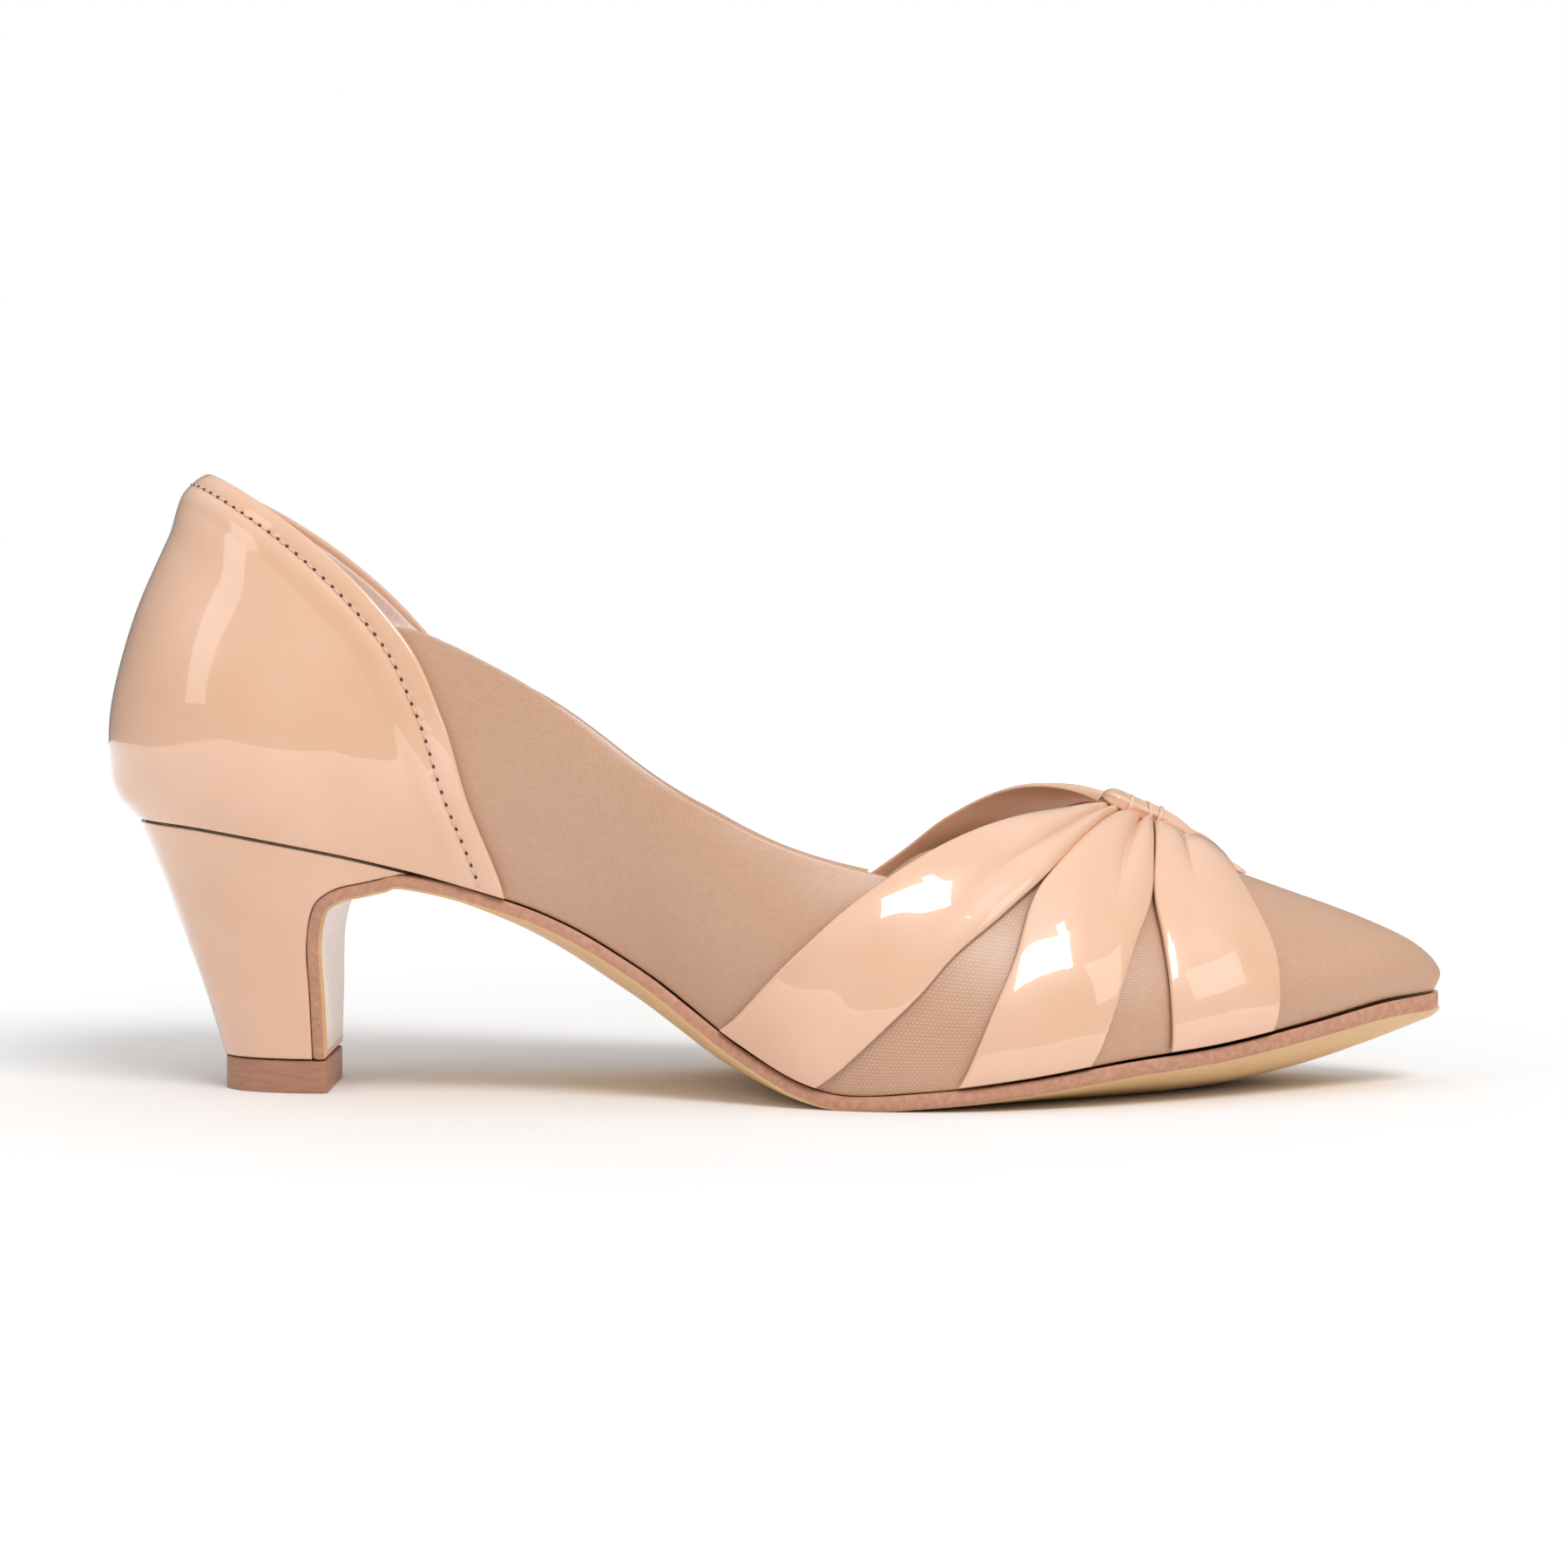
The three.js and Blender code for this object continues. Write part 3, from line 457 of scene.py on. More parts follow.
        for _ in range(40):
            g = gap(a, t)
            by_a, by_t = (gap(a + step, t) - g) / step, (gap(a, t + step) - g) / step
            det = by_a[0] * by_t[1] - by_t[0] * by_a[1]
            move_a = (g[0] * by_t[1] - by_t[0] * g[1]) / det
            move_t = (by_a[0] * g[1] - g[0] * by_a[1]) / det
            a = np.clip(a - np.clip(move_a, -0.05, 0.05), 0.02, 0.98)
            t = np.clip(t - np.clip(move_t, -0.1, 0.1), 0, 1)
        return np.stack([a, t], axis=1)

    def ridge(self, x: Array | float) -> Array:
        """The place a on the crown line over pattern x, on the forepart."""
        share = np.linspace(0.6, 1, 400)
        return np.interp(x, self.crown.at(share)[:, 0], share)


# ---- Meshes ---------------------------------------------------------------------------------------


def border_shares(count: int, steps: list[tuple[float, float]], radius: Array) -> tuple[Array, Array]:
    """Grid shares with a rounded border at both ends.

    Args:
        count: Cuts of the grid.
        steps: The border's (inset, rise) steps.
        radius: The border's radius as a share of each grid line's length.

    Returns:
        The shares and the rise of the face there, each (count + 1, len(radius)).
    """
    inset = np.array([step[0] for step in steps])
    rise = np.array([step[1] for step in steps])
    edge = inset[:, None] * radius[None, :]
    inner = np.linspace(0, 1, count + 1 - 2 * (len(steps) - 1))[1:-1, None]
    inside = radius + inner * (1 - 2 * radius)
    share = np.concatenate([edge, inside, 1 - edge[::-1]])
    level = np.concatenate([rise, np.ones(len(inner)), rise[::-1]])
    return share, np.repeat(level[:, None], len(radius), axis=1)


@dataclass
class Shell:
    """A closed sheet between two mapped faces, with a worked border.

    Attributes:
        face: Gives pattern points from grid shares p and q and depth k, 0 inner to 1 outer.
        cuts: Grid cuts along p and along q.
        radius: Border radius.
        border: How the border is cut.
        paint: Gives the third part of the "lay" attribute from p, the depth and the border's rise.
    """

    face: Face
    cuts: tuple[int, int]
    radius: float
    border: Border = Border.ROUND
    paint: Callable[[Array, Array, Array], Array] | None = None

    def build(self, last: Last) -> bmesh.types.BMesh:
        """Makes the two faces from grids and welds them at the border.

        Args:
            last: The last, which places the mesh in the CAD frame.

        Returns:
            A closed mesh with a "lay" attribute: metres along p and q, and the paint.
        """
        n, m = self.cuts
        p, q = np.meshgrid(np.linspace(0, 1, n + 1), np.linspace(0, 1, m + 1), indexing="ij")
        middle = self.face(p, q, np.full_like(p, 0.5))
        long_p = np.linalg.norm(np.diff(middle, axis=0), axis=2).sum(0)
        long_q = np.linalg.norm(np.diff(middle, axis=1), axis=2).sum(1)
        steps = self.border.steps()
        p, rise_p = border_shares(n, steps, self.radius / np.maximum(long_p, 5 * self.radius))
        q, rise_q = border_shares(m, steps, self.radius / np.maximum(long_q, 5 * self.radius))
        q, rise_q = q.T, rise_q.T
        rise = np.minimum(rise_p, rise_q)
        bm = bmesh.new()
        lay = bm.verts.layers.float_vector.new("lay")
        for depth in (1, 0):
            k = 0.5 + (depth - 0.5) * rise
            points = last.settle(self.face(p, q, k))
            paint = self.paint(p, np.full_like(p, depth), rise) if self.paint else np.zeros_like(p)
            flat = np.stack([p * long_p.mean() * MM, q * long_q.mean() * MM, paint], axis=-1)
            made = bmesh.ops.create_grid(bm, x_segments=n, y_segments=m, size=1)["verts"]
            for vert in made:
                i, j = round((vert.co.x + 1) / 2 * n), round((vert.co.y + 1) / 2 * m)
                vert.co = points[i, j]
                vert[lay] = flat[i, j]
            if not depth:
                faces = {face for vert in made for face in vert.link_faces}
                bmesh.ops.reverse_faces(bm, faces=list(faces))
        bmesh.ops.remove_doubles(bm, verts=bm.verts, dist=2e-6)
        bmesh.ops.dissolve_degenerate(bm, edges=bm.edges, dist=1e-6)
        if bm.calc_volume(signed=True) < 0:
            bmesh.ops.reverse_faces(bm, faces=bm.faces)
        return bm


@dataclass(frozen=True)
class Piece:
    """What a finished piece is called and stands for.

    Attributes:
        name: The piece's name.
        slot: The record's material slot.
        replaces: The CAD nodes that it stands for.
        finish: Its material, where that is not the slot's own.
    """

    name: str
    slot: str
    replaces: tuple[str, ...] = ()
    finish: str = ""

    def make(self, bm: bmesh.types.BMesh, finishes: dict[str, bpy.types.Material]) -> bpy.types.Object:
        """Turns a mesh into the piece and hands it to the frame.

        Args:
            bm: The mesh, which is freed.
            finishes: The materials by name.

        Returns:
            The piece's object, riding on the shoe.
        """
        mesh = bpy.data.meshes.new(self.name)
        bm.to_mesh(mesh)
        bm.free()
        mesh.shade_smooth()
        mesh.materials.append(finishes[self.finish or self.slot])
        piece = bpy.data.objects.new(self.name, mesh)
        bpy.context.scene.collection.objects.link(piece)
        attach(piece, "root")
        if self.replaces:
            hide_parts(*self.replaces)
        log.info("%s: %d faces", self.name, len(mesh.polygons))
        return piece


# ---- Finishes -------------------------------------------------------------------------------------


def tone(red: int, green: int, blue: int) -> tuple[float, float, float, float]:
    """A screen colour as linear light.

    Args:
        red: From 0 to 255.
        green: The same.
        blue: The same.

    Returns:
        Red, green, blue and alpha from 0 to 1.
    """
    parts = [part / 255 for part in (red, green, blue)]
    linear = [part / 12.92 if part <= 0.04045 else ((part + 0.055) / 1.055) ** 2.4 for part in parts]
    return (*linear, 1.0)


class Nodes:
    """A node tree while it is put together."""

    def __init__(self, tree: bpy.types.NodeTree) -> None:
        """Takes the tree."""
        self.tree = tree

    def node(self, kind: str, settings: dict | None = None, **inputs: object) -> bpy.types.Node:
        """Adds a node.

        Args:
            kind: The node's type.
            settings: The node's own properties.
            inputs: Values or sockets for its inputs, with _ for a space in a name.

        Returns:
            The node.
        """
        node = self.tree.nodes.new(kind)
        for key, value in (settings or {}).items():
            setattr(node, key, value)
        for key, value in inputs.items():
            self.feed(node, key.replace("_", " "), value)
        return node

    def feed(self, node: bpy.types.Node, key: str | int, value: object) -> None:
        """Sets or links one input of a node.

        Args:
            node: The node.
            key: The input's name or number.
            value: A value, or a socket to link.
        """
        if isinstance(value, bpy.types.NodeSocket):
            self.tree.links.new(value, node.inputs[key])
        else:
            node.inputs[key].default_value = value

    def sum(self, operation: str, *values: object) -> object:
        """A sum of any kind that the Math node does.

        Args:
            operation: The Math node's operation.
            values: Its values or sockets, in order.

        Returns:
            The socket with the result.
        """
        node = self.node("ShaderNodeMath", {"operation": operation})
        for index, value in enumerate(values):
            self.feed(node, index, value)
        return node.outputs[0]

    def span(self, value: object, low: float, high: float, to_low: float = 0, to_high: float = 1) -> object:
        """A value brought from one span to another."""
        return self.node("ShaderNodeMapRange", Value=value, From_Min=low, From_Max=high,
                         To_Min=to_low, To_Max=to_high).outputs[0]


class Recipe(Nodes):
    """A node material while it is put together."""

    def __init__(self, name: str) -> None:
        """Starts an empty material with a Principled shader on its output.

        Args:
            name: The material's name.
        """
        self.material = bpy.data.materials.new(name)
        self.material.use_nodes = True
        super().__init__(self.material.node_tree)
        self.tree.nodes.clear()
        self.shader = self.node("ShaderNodeBsdfPrincipled")
        output = self.node("ShaderNodeOutputMaterial")
        self.tree.links.new(self.shader.outputs[0], output.inputs["Surface"])
        self.place = self.node("ShaderNodeTexCoord").outputs["Object"]

    def shade(self, **inputs: object) -> None:
        """Sets inputs of the shader."""
        for key, value in inputs.items():
            self.feed(self.shader, key.replace("_", " "), value)

    def noise(self, size: float, detail: float = 2, stretch: tuple = (1, 1, 1)) -> object:
        """A noise from 0 to 1 with features of a size in millimetres."""
        at = self.node("ShaderNodeMapping", Vector=self.place, Scale=stretch).outputs[0]
        return self.node("ShaderNodeTexNoise", Vector=at, Scale=1 / (size * MM), Detail=detail).outputs["Fac"]

    def ramp(self, value: object, low: tuple[float, tuple], high: tuple[float, tuple]) -> object:
        """Colours along a value, between two stops of a position and a colour.

        Args:
            value: The socket to read.
            low: The lower stop.
            high: The upper stop.

        Returns:
            The socket with the colour.
        """
        node = self.node("ShaderNodeValToRGB", Fac=value)
        for element, (position, colour) in zip(node.color_ramp.elements, (low, high)):
            element.position = position
            element.color = colour
        return node.outputs["Color"]

    def blend(self, share: object, first: object, second: object) -> object:
        """One colour mixed into another.

        Args:
            share: How much of the second.
            first: The first colour or socket.
            second: The second.

        Returns:
            The socket with the colour.
        """
        node = self.node("ShaderNodeMix", {"data_type": "RGBA"})
        for index, value in ((0, share), (6, first), (7, second)):
            self.feed(node, index, value)
        return node.outputs[2]

    def bump(self, height: object, strength: float, depth: float, under: object = None) -> object:
        """A bump of a depth in millimetres, over another one.

        Args:
            height: The socket with the height.
            strength: How strong it is, up to 1.
            depth: Its depth.
            under: The bump that it lies over.

        Returns:
            The socket with the normal.
        """
        node = self.node("ShaderNodeBump", Height=height, Strength=strength, Distance=depth * MM)
        if under is not None:
            self.feed(node, "Normal", under)
        return node.outputs[0]

    def lay(self) -> tuple[object, object, object]:
        """The piece's own "lay" attribute: metres along, metres up, and paint."""
        attribute = self.node("ShaderNodeAttribute", {"attribute_name": "lay"}).outputs["Vector"]
        parts = self.node("ShaderNodeSeparateXYZ", Vector=attribute).outputs
        return parts[0], parts[1], parts[2]

    def threads(self, along: object, pitch: float) -> object:
        """Rounded threads across a direction, with a pitch in millimetres."""
        turn = self.sum("MULTIPLY", along, 2 * math.pi / (pitch * MM))
        return self.sum("MULTIPLY_ADD", self.sum("SINE", turn), 0.5, 0.5)


@dataclass(frozen=True)
class PatentLeather:
    """Clear coated leather, uncoloured on its back, where paint is 1.

    Attributes:
        light: Its colour where it is full.
        deep: Its colour where it thins.
        back: Its back.
    """

    light: tuple = tone(241, 196, 167)
    deep: tuple = tone(232, 184, 150)
    back: tuple = tone(240, 196, 162)

    def material(self) -> bpy.types.Material:
        """The finish as a node material."""
        recipe = Recipe("patent_leather")
        soft = recipe.ramp(recipe.noise(26, 3), (0.32, self.deep), (0.68, self.light))
        grain = recipe.noise(0.55, 3)
        coated = recipe.blend(recipe.span(grain, 0.35, 0.75, 0, 0.14), soft, self.deep)
        back = recipe.span(recipe.lay()[2], 0.6, 0.9)
        peel = recipe.bump(recipe.noise(7, 1), 0.14, 0.1)
        fine = recipe.bump(grain, 0.05, 0.03, peel)
        recipe.shade(Base_Color=recipe.blend(back, coated, self.back), Roughness=0.3, Normal=fine,
                     IOR=1.5, Coat_Weight=1, Coat_Roughness=0.03, Coat_IOR=1.65, Coat_Normal=peel)
        return recipe.material


@dataclass(frozen=True)
class Satin:
    """A fine warp faced satin with a soft sheen.

    Attributes:
        warp: Colour of the floats.
        weft: Colour between them.
        sheen: Colour of the sheen.
        pitch: Distance of the threads.
    """

    warp: tuple = tone(219, 179, 151)
    weft: tuple = tone(190, 147, 118)
    sheen: tuple = tone(255, 236, 220)
    pitch: float = 0.5

    def material(self) -> bpy.types.Material:
        """The finish as a node material."""
        recipe = Recipe("satin")
        u, v, _ = recipe.lay()
        twill = recipe.sum("ADD", u, recipe.sum("MULTIPLY", v, 0.4))
        warp = recipe.threads(u, self.pitch)
        weft = recipe.threads(v, self.pitch * 0.8)
        rib = recipe.threads(twill, self.pitch * 5)
        weave = recipe.sum("MULTIPLY_ADD", warp, weft, recipe.sum("MULTIPLY", rib, 0.04))
        slub = recipe.noise(0.7, 3, stretch=(0.35, 1, 1.6))
        yarn = recipe.sum("MULTIPLY_ADD", slub, 0.3, recipe.sum("MULTIPLY_ADD", weave, 0.55, 0.12))
        cloth = recipe.ramp(yarn, (0.2, self.weft), (0.75, self.warp))
        shade = recipe.blend(recipe.span(recipe.noise(30, 2), 0.35, 0.7, 0, 0.25), cloth, self.weft)
        relief = recipe.bump(weave, 0.35, 0.04)
        recipe.shade(Base_Color=shade, Roughness=0.4, Normal=relief, Specular_IOR_Level=0.7,
                     Sheen_Weight=0.55, Sheen_Roughness=0.35, Sheen_Tint=self.sheen)
        return recipe.material


@dataclass(frozen=True)
class SoleFinish:
    """A sole with a painted edge, a tan underside and a pale varnished heel flap, whose near-white colour is
    partly a painted reflection of the white surroundings.

    Attributes:
        edge: The edge paint.
        mottle: Its darker spots.
        under: The underside.
        scuffed: The underside where it is scuffed.
        flap: The flap on the heel's front: pale varnish, with a painted reflection of the white surroundings
            in its near-white colour.
        flap_x: Where the flap begins, behind this pattern x.
        strip: The rounded strip beside the flap's painted edge.
    """

    edge: tuple = tone(206, 153, 126)
    mottle: tuple = tone(184, 132, 106)
    under: tuple = tone(232, 192, 140)
    scuffed: tuple = tone(205, 160, 112)
    flap: tuple = tone(252, 230, 216)
    flap_x: float = 46
    strip: tuple = tone(228, 184, 130)

    def material(self, last: Last) -> bpy.types.Material:
        """The finish as a node material.

        Args:
            last: The last, which places the flap.

        Returns:
            The material.
        """
        recipe = Recipe("painted_sole")
        _, _, paint = recipe.lay()
        at_x = recipe.node("ShaderNodeSeparateXYZ", Vector=recipe.place).outputs[0]
        start = (self.flap_x + last.shift[0]) * MM
        flap = recipe.span(at_x, start - 0.004, start + 0.001, 1, 0)
        beside = recipe.sum("MULTIPLY", recipe.span(paint, 0.06, 0.16), flap)
        # The flap's near-white colour is partly a painted reflection of the white surroundings on its glossy
        # face.
        under = recipe.blend(beside, recipe.blend(flap, self.under, self.flap), self.strip)
        scuff = recipe.noise(1.6, 4, stretch=(0.3, 1.6, 1))
        worn = recipe.blend(recipe.span(scuff, 0.45, 0.8, 0, 0.35), under, self.scuffed)
        mottle = recipe.ramp(recipe.noise(1.1, 4), (0.3, self.mottle), (0.7, self.edge))
        painted = recipe.span(paint, 0.42, 0.75)
        streak = recipe.bump(recipe.noise(0.5, 3, stretch=(0.25, 1, 1)), 0.3, 0.06)
        rough = recipe.sum("MULTIPLY_ADD", painted, 0.22, recipe.sum("MULTIPLY_ADD", flap, -0.12, 0.36))
        recipe.shade(Base_Color=recipe.blend(painted, worn, mottle), Roughness=rough, Normal=streak)
        return recipe.material


@dataclass(frozen=True)
class Grained:
    """A matte or lightly glossed stock with a grain: leather, board, plastic, cork or cloth.

    Attributes:
        name: The material's name.
        light: Its colour.
        deep: Its colour in the grain.
        grain: Size of the grain.
        depth: Depth of the grain.
        rough: Roughness.
        metal: Whether it is metal.
        stretch: The grain's stretch along x, y and z.
        woven: Pitch of a weave, or 0.
    """

    name: str
    light: tuple
    deep: tuple
    grain: float = 0.6
    depth: float = 0.05
    rough: float = 0.6
    metal: float = 0
    stretch: tuple = (1, 1, 1)
    woven: float = 0

    def material(self) -> bpy.types.Material:
        """The finish as a node material."""
        recipe = Recipe(self.name)
        grain = recipe.noise(self.grain, 5, stretch=self.stretch)
        if self.woven:
            x, _, z = recipe.node("ShaderNodeSeparateXYZ", Vector=recipe.place).outputs
            cross = recipe.sum("MULTIPLY", recipe.threads(x, self.woven), recipe.threads(z, self.woven))
            grain = recipe.sum("MULTIPLY_ADD", cross, 0.6, recipe.sum("MULTIPLY", grain, 0.4))
        broad = recipe.noise(self.grain * 14, 2)
        colour = recipe.ramp(grain, (0.3, self.deep), (0.68, self.light))
        colour = recipe.blend(recipe.span(broad, 0.35, 0.7, 0, 0.3), colour, self.deep)
        rough = recipe.span(grain, 0.2, 0.8, self.rough + 0.08, self.rough - 0.06)
        recipe.shade(Base_Color=colour, Roughness=rough, Metallic=self.metal,
                     Normal=recipe.bump(grain, 0.6, self.depth))
        return recipe.material


STOCK = (
    Grained("lining_leather", tone(243, 222, 212), tone(232, 204, 191), 0.5, 0.04, 0.62),
    Grained("lift_plastic", tone(188, 138, 114), tone(170, 118, 95), 1.4, 0.03, 0.42, stretch=(0.3, 1, 2.5)),
    Grained("heel_plastic", tone(222, 214, 200), tone(205, 196, 180), 1.2, 0.02, 0.45),
    Grained("fibre_board", tone(190, 160, 124), tone(156, 126, 92), 0.8, 0.08, 0.85, stretch=(0.3, 1, 1)),
    Grained("stiffener_sheet", tone(230, 224, 210), tone(206, 198, 180), 0.5, 0.06, 0.8),
    Grained("backing_cloth", tone(242, 238, 230), tone(214, 206, 192), 0.4, 0.1, 0.9, woven=0.5),
    Grained("cork", tone(196, 150, 104), tone(140, 98, 62), 1.8, 0.2, 0.9),
    Grained("foam", tone(240, 230, 200), tone(216, 204, 170), 0.4, 0.15, 0.92),
    Grained("steel", tone(196, 198, 202), tone(160, 162, 168), 0.6, 0.02, 0.3, metal=1, stretch=(0.2, 1, 1)),
    Grained("thread", tone(244, 212, 192), tone(214, 174, 150), 0.2, 0.04, 0.5, stretch=(1, 1, 3)),
    # Dark brown that paints the shade inside a needle hole.
    Grained("painted_hole_shade", tone(96, 60, 44), tone(70, 42, 30), 0.2, 0.02, 0.8),
)

# CAD nodes inside the shoe, whose shape is right as it is, by the slot that they are in.
HIDDEN_NODES = {
    "heel_plastic": ("heel_block",),
    "steel": ("shank", "heel_screw", "heel_nail_1", "heel_nail_2", "heel_nail_3", "heel_nail_4",
              "shank_rivet_1", "shank_rivet_2", "top_lift_pin_1", "top_lift_pin_2"),
    "fibre_board": ("insole_board",),
    "cork": ("bottom_filler",),
    "foam": ("footbed_foam",),
    "stiffener_sheet": ("heel_counter", "toe_puff"),
    "backing_cloth": ("quarter_backing_lateral", "quarter_backing_medial"),
}


@dataclass
class Wardrobe:
    """Every finish of the shoe.

    Attributes:
        last: The last, which places the sole's flap.
        finishes: The materials by name; most are named like the record's slots.
    """

    last: Last
    finishes: dict[str, bpy.types.Material] = field(init=False)

    def __post_init__(self) -> None:
        """Mixes the materials once."""
        self.finishes = {finish.name: finish.material() for finish in STOCK}
        self.finishes["patent_leather"] = PatentLeather().material()
        self.finishes["satin"] = Satin().material()
        self.finishes["painted_sole"] = SoleFinish().material(self.last)

    def dress_hidden_parts(self) -> None:
        """Gives the CAD nodes inside the shoe their materials."""
        for slot, nodes in HIDDEN_NODES.items():
            for node in nodes:
                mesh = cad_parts[node].data
                mesh.materials.clear()
                mesh.materials.append(self.finishes[slot])
            log.info("%s on %s", slot, ", ".join(nodes))


@dataclass
class SubAssembly:
    """A part of the shoe that is laid on the last.

    Attributes:
        last: The last.
        finishes: The materials by name.
    """

    last: Last
    finishes: dict[str, bpy.types.Material]

    def lay(self, piece: Piece, shell: Shell) -> bpy.types.Object:
        """Builds a sheet on the last and hands it over as a piece."""
        return piece.make(shell.build(self.last), self.finishes)


# ---- The upper ------------------------------------------------------------------------------------


@dataclass
class Upper(SubAssembly):
    """The patent heel quarters, satin, linings and topstitching.

    Attributes:
        satin: Thickness of the satin.
        patent: Thickness of the patent leather.
        lining: Thickness of the linings.
        lining_face: How deep the lining's outer face lies under the satin's face.
        lining_draw: How far the lining is drawn up behind the satin's folded edge.
        heel_draw: How far the heel lining is drawn up behind the quarter's folded edge.
        turn_in: How deep the satin's folded edge reaches.
        under: Offset of the heel quarter's inner face at its back seam and at its front edge.
        fold: How far the folded edge of the patent stands up.
        fade: Shares of the way up between which that fold and its stitches run out.
        stitch_inset: From the folded edge to the stitches.
        stitch_pitch: From stitch to stitch.
        stitch_ends: Shares of the way up where the row of stitches begins and ends.
        thread_size: Half length, half width and half height of a stitch.
        hole_size: The same for the dark bead that paints the shade inside a needle hole.
        quarter_length: From the back seam to the quarter's front edge.
        quarter_edge: That edge from the sole up, as pattern x and height above the feather line.
        peak: Where it reaches the crown line, as a place along the last.
        topline: The satin's top edge from the heel quarter forward, drawn in the same way.
        seam: The seam of satin and vamp, up to the throat.
        throat: The vamp's top edge from there to the middle.
        throat_x: Where it crosses the ridge.
        gap: Half the gap at a seam, as a share of the last.
        tuck: Where the satin begins, as a share of the way to the heel quarter's edge.
        low_throat: Scale of the throat's height on each side.
        cut: Scales of the heights of quarter_edge and topline on each side.
    """

    satin: float = 0.8
    patent: float = 0.9
    lining: float = 0.8
    lining_face: float = 2.1
    lining_draw: float = 0.55
    heel_draw: float = 2.45
    turn_in: float = 1.75
    under: tuple[float, float] = (0.3, 0.6)
    fold: float = 0.35
    fade: tuple[float, float] = (0.9, 0.985)
    stitch_inset: float = 2.7
    stitch_pitch: float = 2.35
    stitch_ends: tuple[float, float] = (0.005, 0.955)
    thread_size: tuple[float, float, float] = (0.86, 0.24, 0.22)
    hole_size: tuple[float, float, float] = (0.36, 0.28, 0.1)
    quarter_length: float = 72
    quarter_edge: tuple = ((68.2, 0.5), (62.4, 15), (57.6, 29.3), (52.4, 39.4), (46.3, 45.6), (36.2, 53),
                           (25.3, 58.8), (18.4, 61.5))
    peak: float = 0.318
    topline: tuple = ((52, 43.5), (62.6, 42), (74.5, 39.4), (89.6, 36.1), (107.3, 38.8), (124.9, 41),
                      (136.1, 38.4))
    seam: tuple = ((117.3, 0.5), (127.3, 22), (139.3, 35.5))
    throat: tuple = ((143.5, 41.0), (150, 42.6), (160, 43.6))
    throat_x: float = 167
    gap: float = 0.0019
    tuck: float = 8 / 9
    low_throat: dict = field(default_factory=lambda: {Side.LATERAL: 1, Side.MEDIAL: 0.93})
    cut: dict = field(default_factory=lambda: {Side.LATERAL: (1, 1), Side.MEDIAL: (0.975, 0.91)})

    def __post_init__(self) -> None:
        """Draws the lines of both sides on the last."""
        self.edge, self.top, self.join, self.vamp_edge = {}, {}, {}, {}
        for side in Side:
            low_edge, low_top = self.cut[side]
            edge = np.vstack([self.last.marks(self.quarter_edge, side, low_edge), [self.peak, 1]])
            top = self.last.marks(self.topline, side, low_top)
            seam = self.last.marks(self.seam, side)
            throat = self.last.marks(self.throat, side, self.low_throat[side])
            whole = np.vstack([seam, throat, [self.last.ridge(self.throat_x), 1]])
            self.edge[side] = Line(edge[:, 1], edge[:, 0])
            self.top[side] = Line(top[:, 0], top[:, 1])
            self.join[side] = Line(seam[:, 1], seam[:, 0])
            self.vamp_edge[side] = Line(whole[:, 1], whole[:, 0], level_end=True)

    def _edges(self, b: Array, lines: dict[Side, Line]) -> Array:
        """A line of both sides at places b over the foot."""
        return np.where(b <= 0.5, lines[Side.LATERAL](2 * b), lines[Side.MEDIAL](2 * (1 - b)))

    def free(self, t: Array, side: Side) -> Array:
        """How far the heel quarter's edge is clear of the satin.

        Args:
            t: Shares of the way up.
            side: The side of the foot.

        Returns:
            0 where the edge lies on the satin and 1 where it is above it.
        """
        heights = np.linspace(0.2, 1, 200)
        crossing = heights[np.argmax(heights > self.top[side](self.edge[side](heights)))]
        return ease(t, crossing - 0.01, crossing + 0.05)

    def heel_quarter(self, side: Side) -> None:
        """A patent quarter, folded over at its front edge and pulled in by the stitches.

        Args:
            side: The side of the foot.
        """
        word = side.word

        def face(p: Array, q: Array, k: Array) -> Array:
            """The quarter, from the back seam to its front edge and from the sole up.

            Args:
                p: Shares from the back seam forward.
                q: Shares from the sole up.
                k: Depths, 0 at the inner face and 1 at the outer.

            Returns:
                Pattern points.
            """
            inner = mix(*self.under, p**4)
            from_edge = (1 - p) * self.quarter_length
            thinned = 1 - ease(q, *self.fade)
            folded = self.fold * (1 - ease(from_edge, 4.5, 7)) * thinned
            dip = 0.3 * np.exp(-(((from_edge - self.stitch_inset) / 0.7) ** 2)) * mix(0.3, 1, thinned)
            puckers = 1 + 0.25 * np.sin(q * 2 * math.pi * 36)
            outer = inner + self.patent + folded - dip * puckers
            outer = outer + 0.12 * ripple(p * 3.1, q * 2.3, 1.3 + side.value) * ease(from_edge, 8, 20)
            point = self.last.layer(p * self.edge[side](q), over(side.value, q), mix(inner, outer, k))
            point[..., 1] = side.value * np.maximum(side.value * point[..., 1], 0.15)
            return point

        piece = Piece(f"{word}_heel_quarter", "patent_leather", (f"heel_quarter_{word}",))
        self.lay(piece, Shell(face, (200, 120), 0.42))

    def topstitching(self, side: Side) -> None:
        """The row of stitches along the quarter's folded edge, and a dark bead that paints the shade in each
        hole they pull open.

        Args:
            side: The side of the foot.
        """
        t = np.linspace(*self.stitch_ends, 600)
        p = 1 - self.stitch_inset / self.quarter_length
        sunk = self.fold - 0.2
        offset = mix(*self.under, p**4) + self.patent + sunk * (1 - ease(t, *self.fade))
        place = p * self.edge[side](t), over(side.value, t)
        line, normal = self.last.layer(*place, offset), self.last.lay(*place)
        self._stitch_row(f"{side.word}_quarter", line, normal)

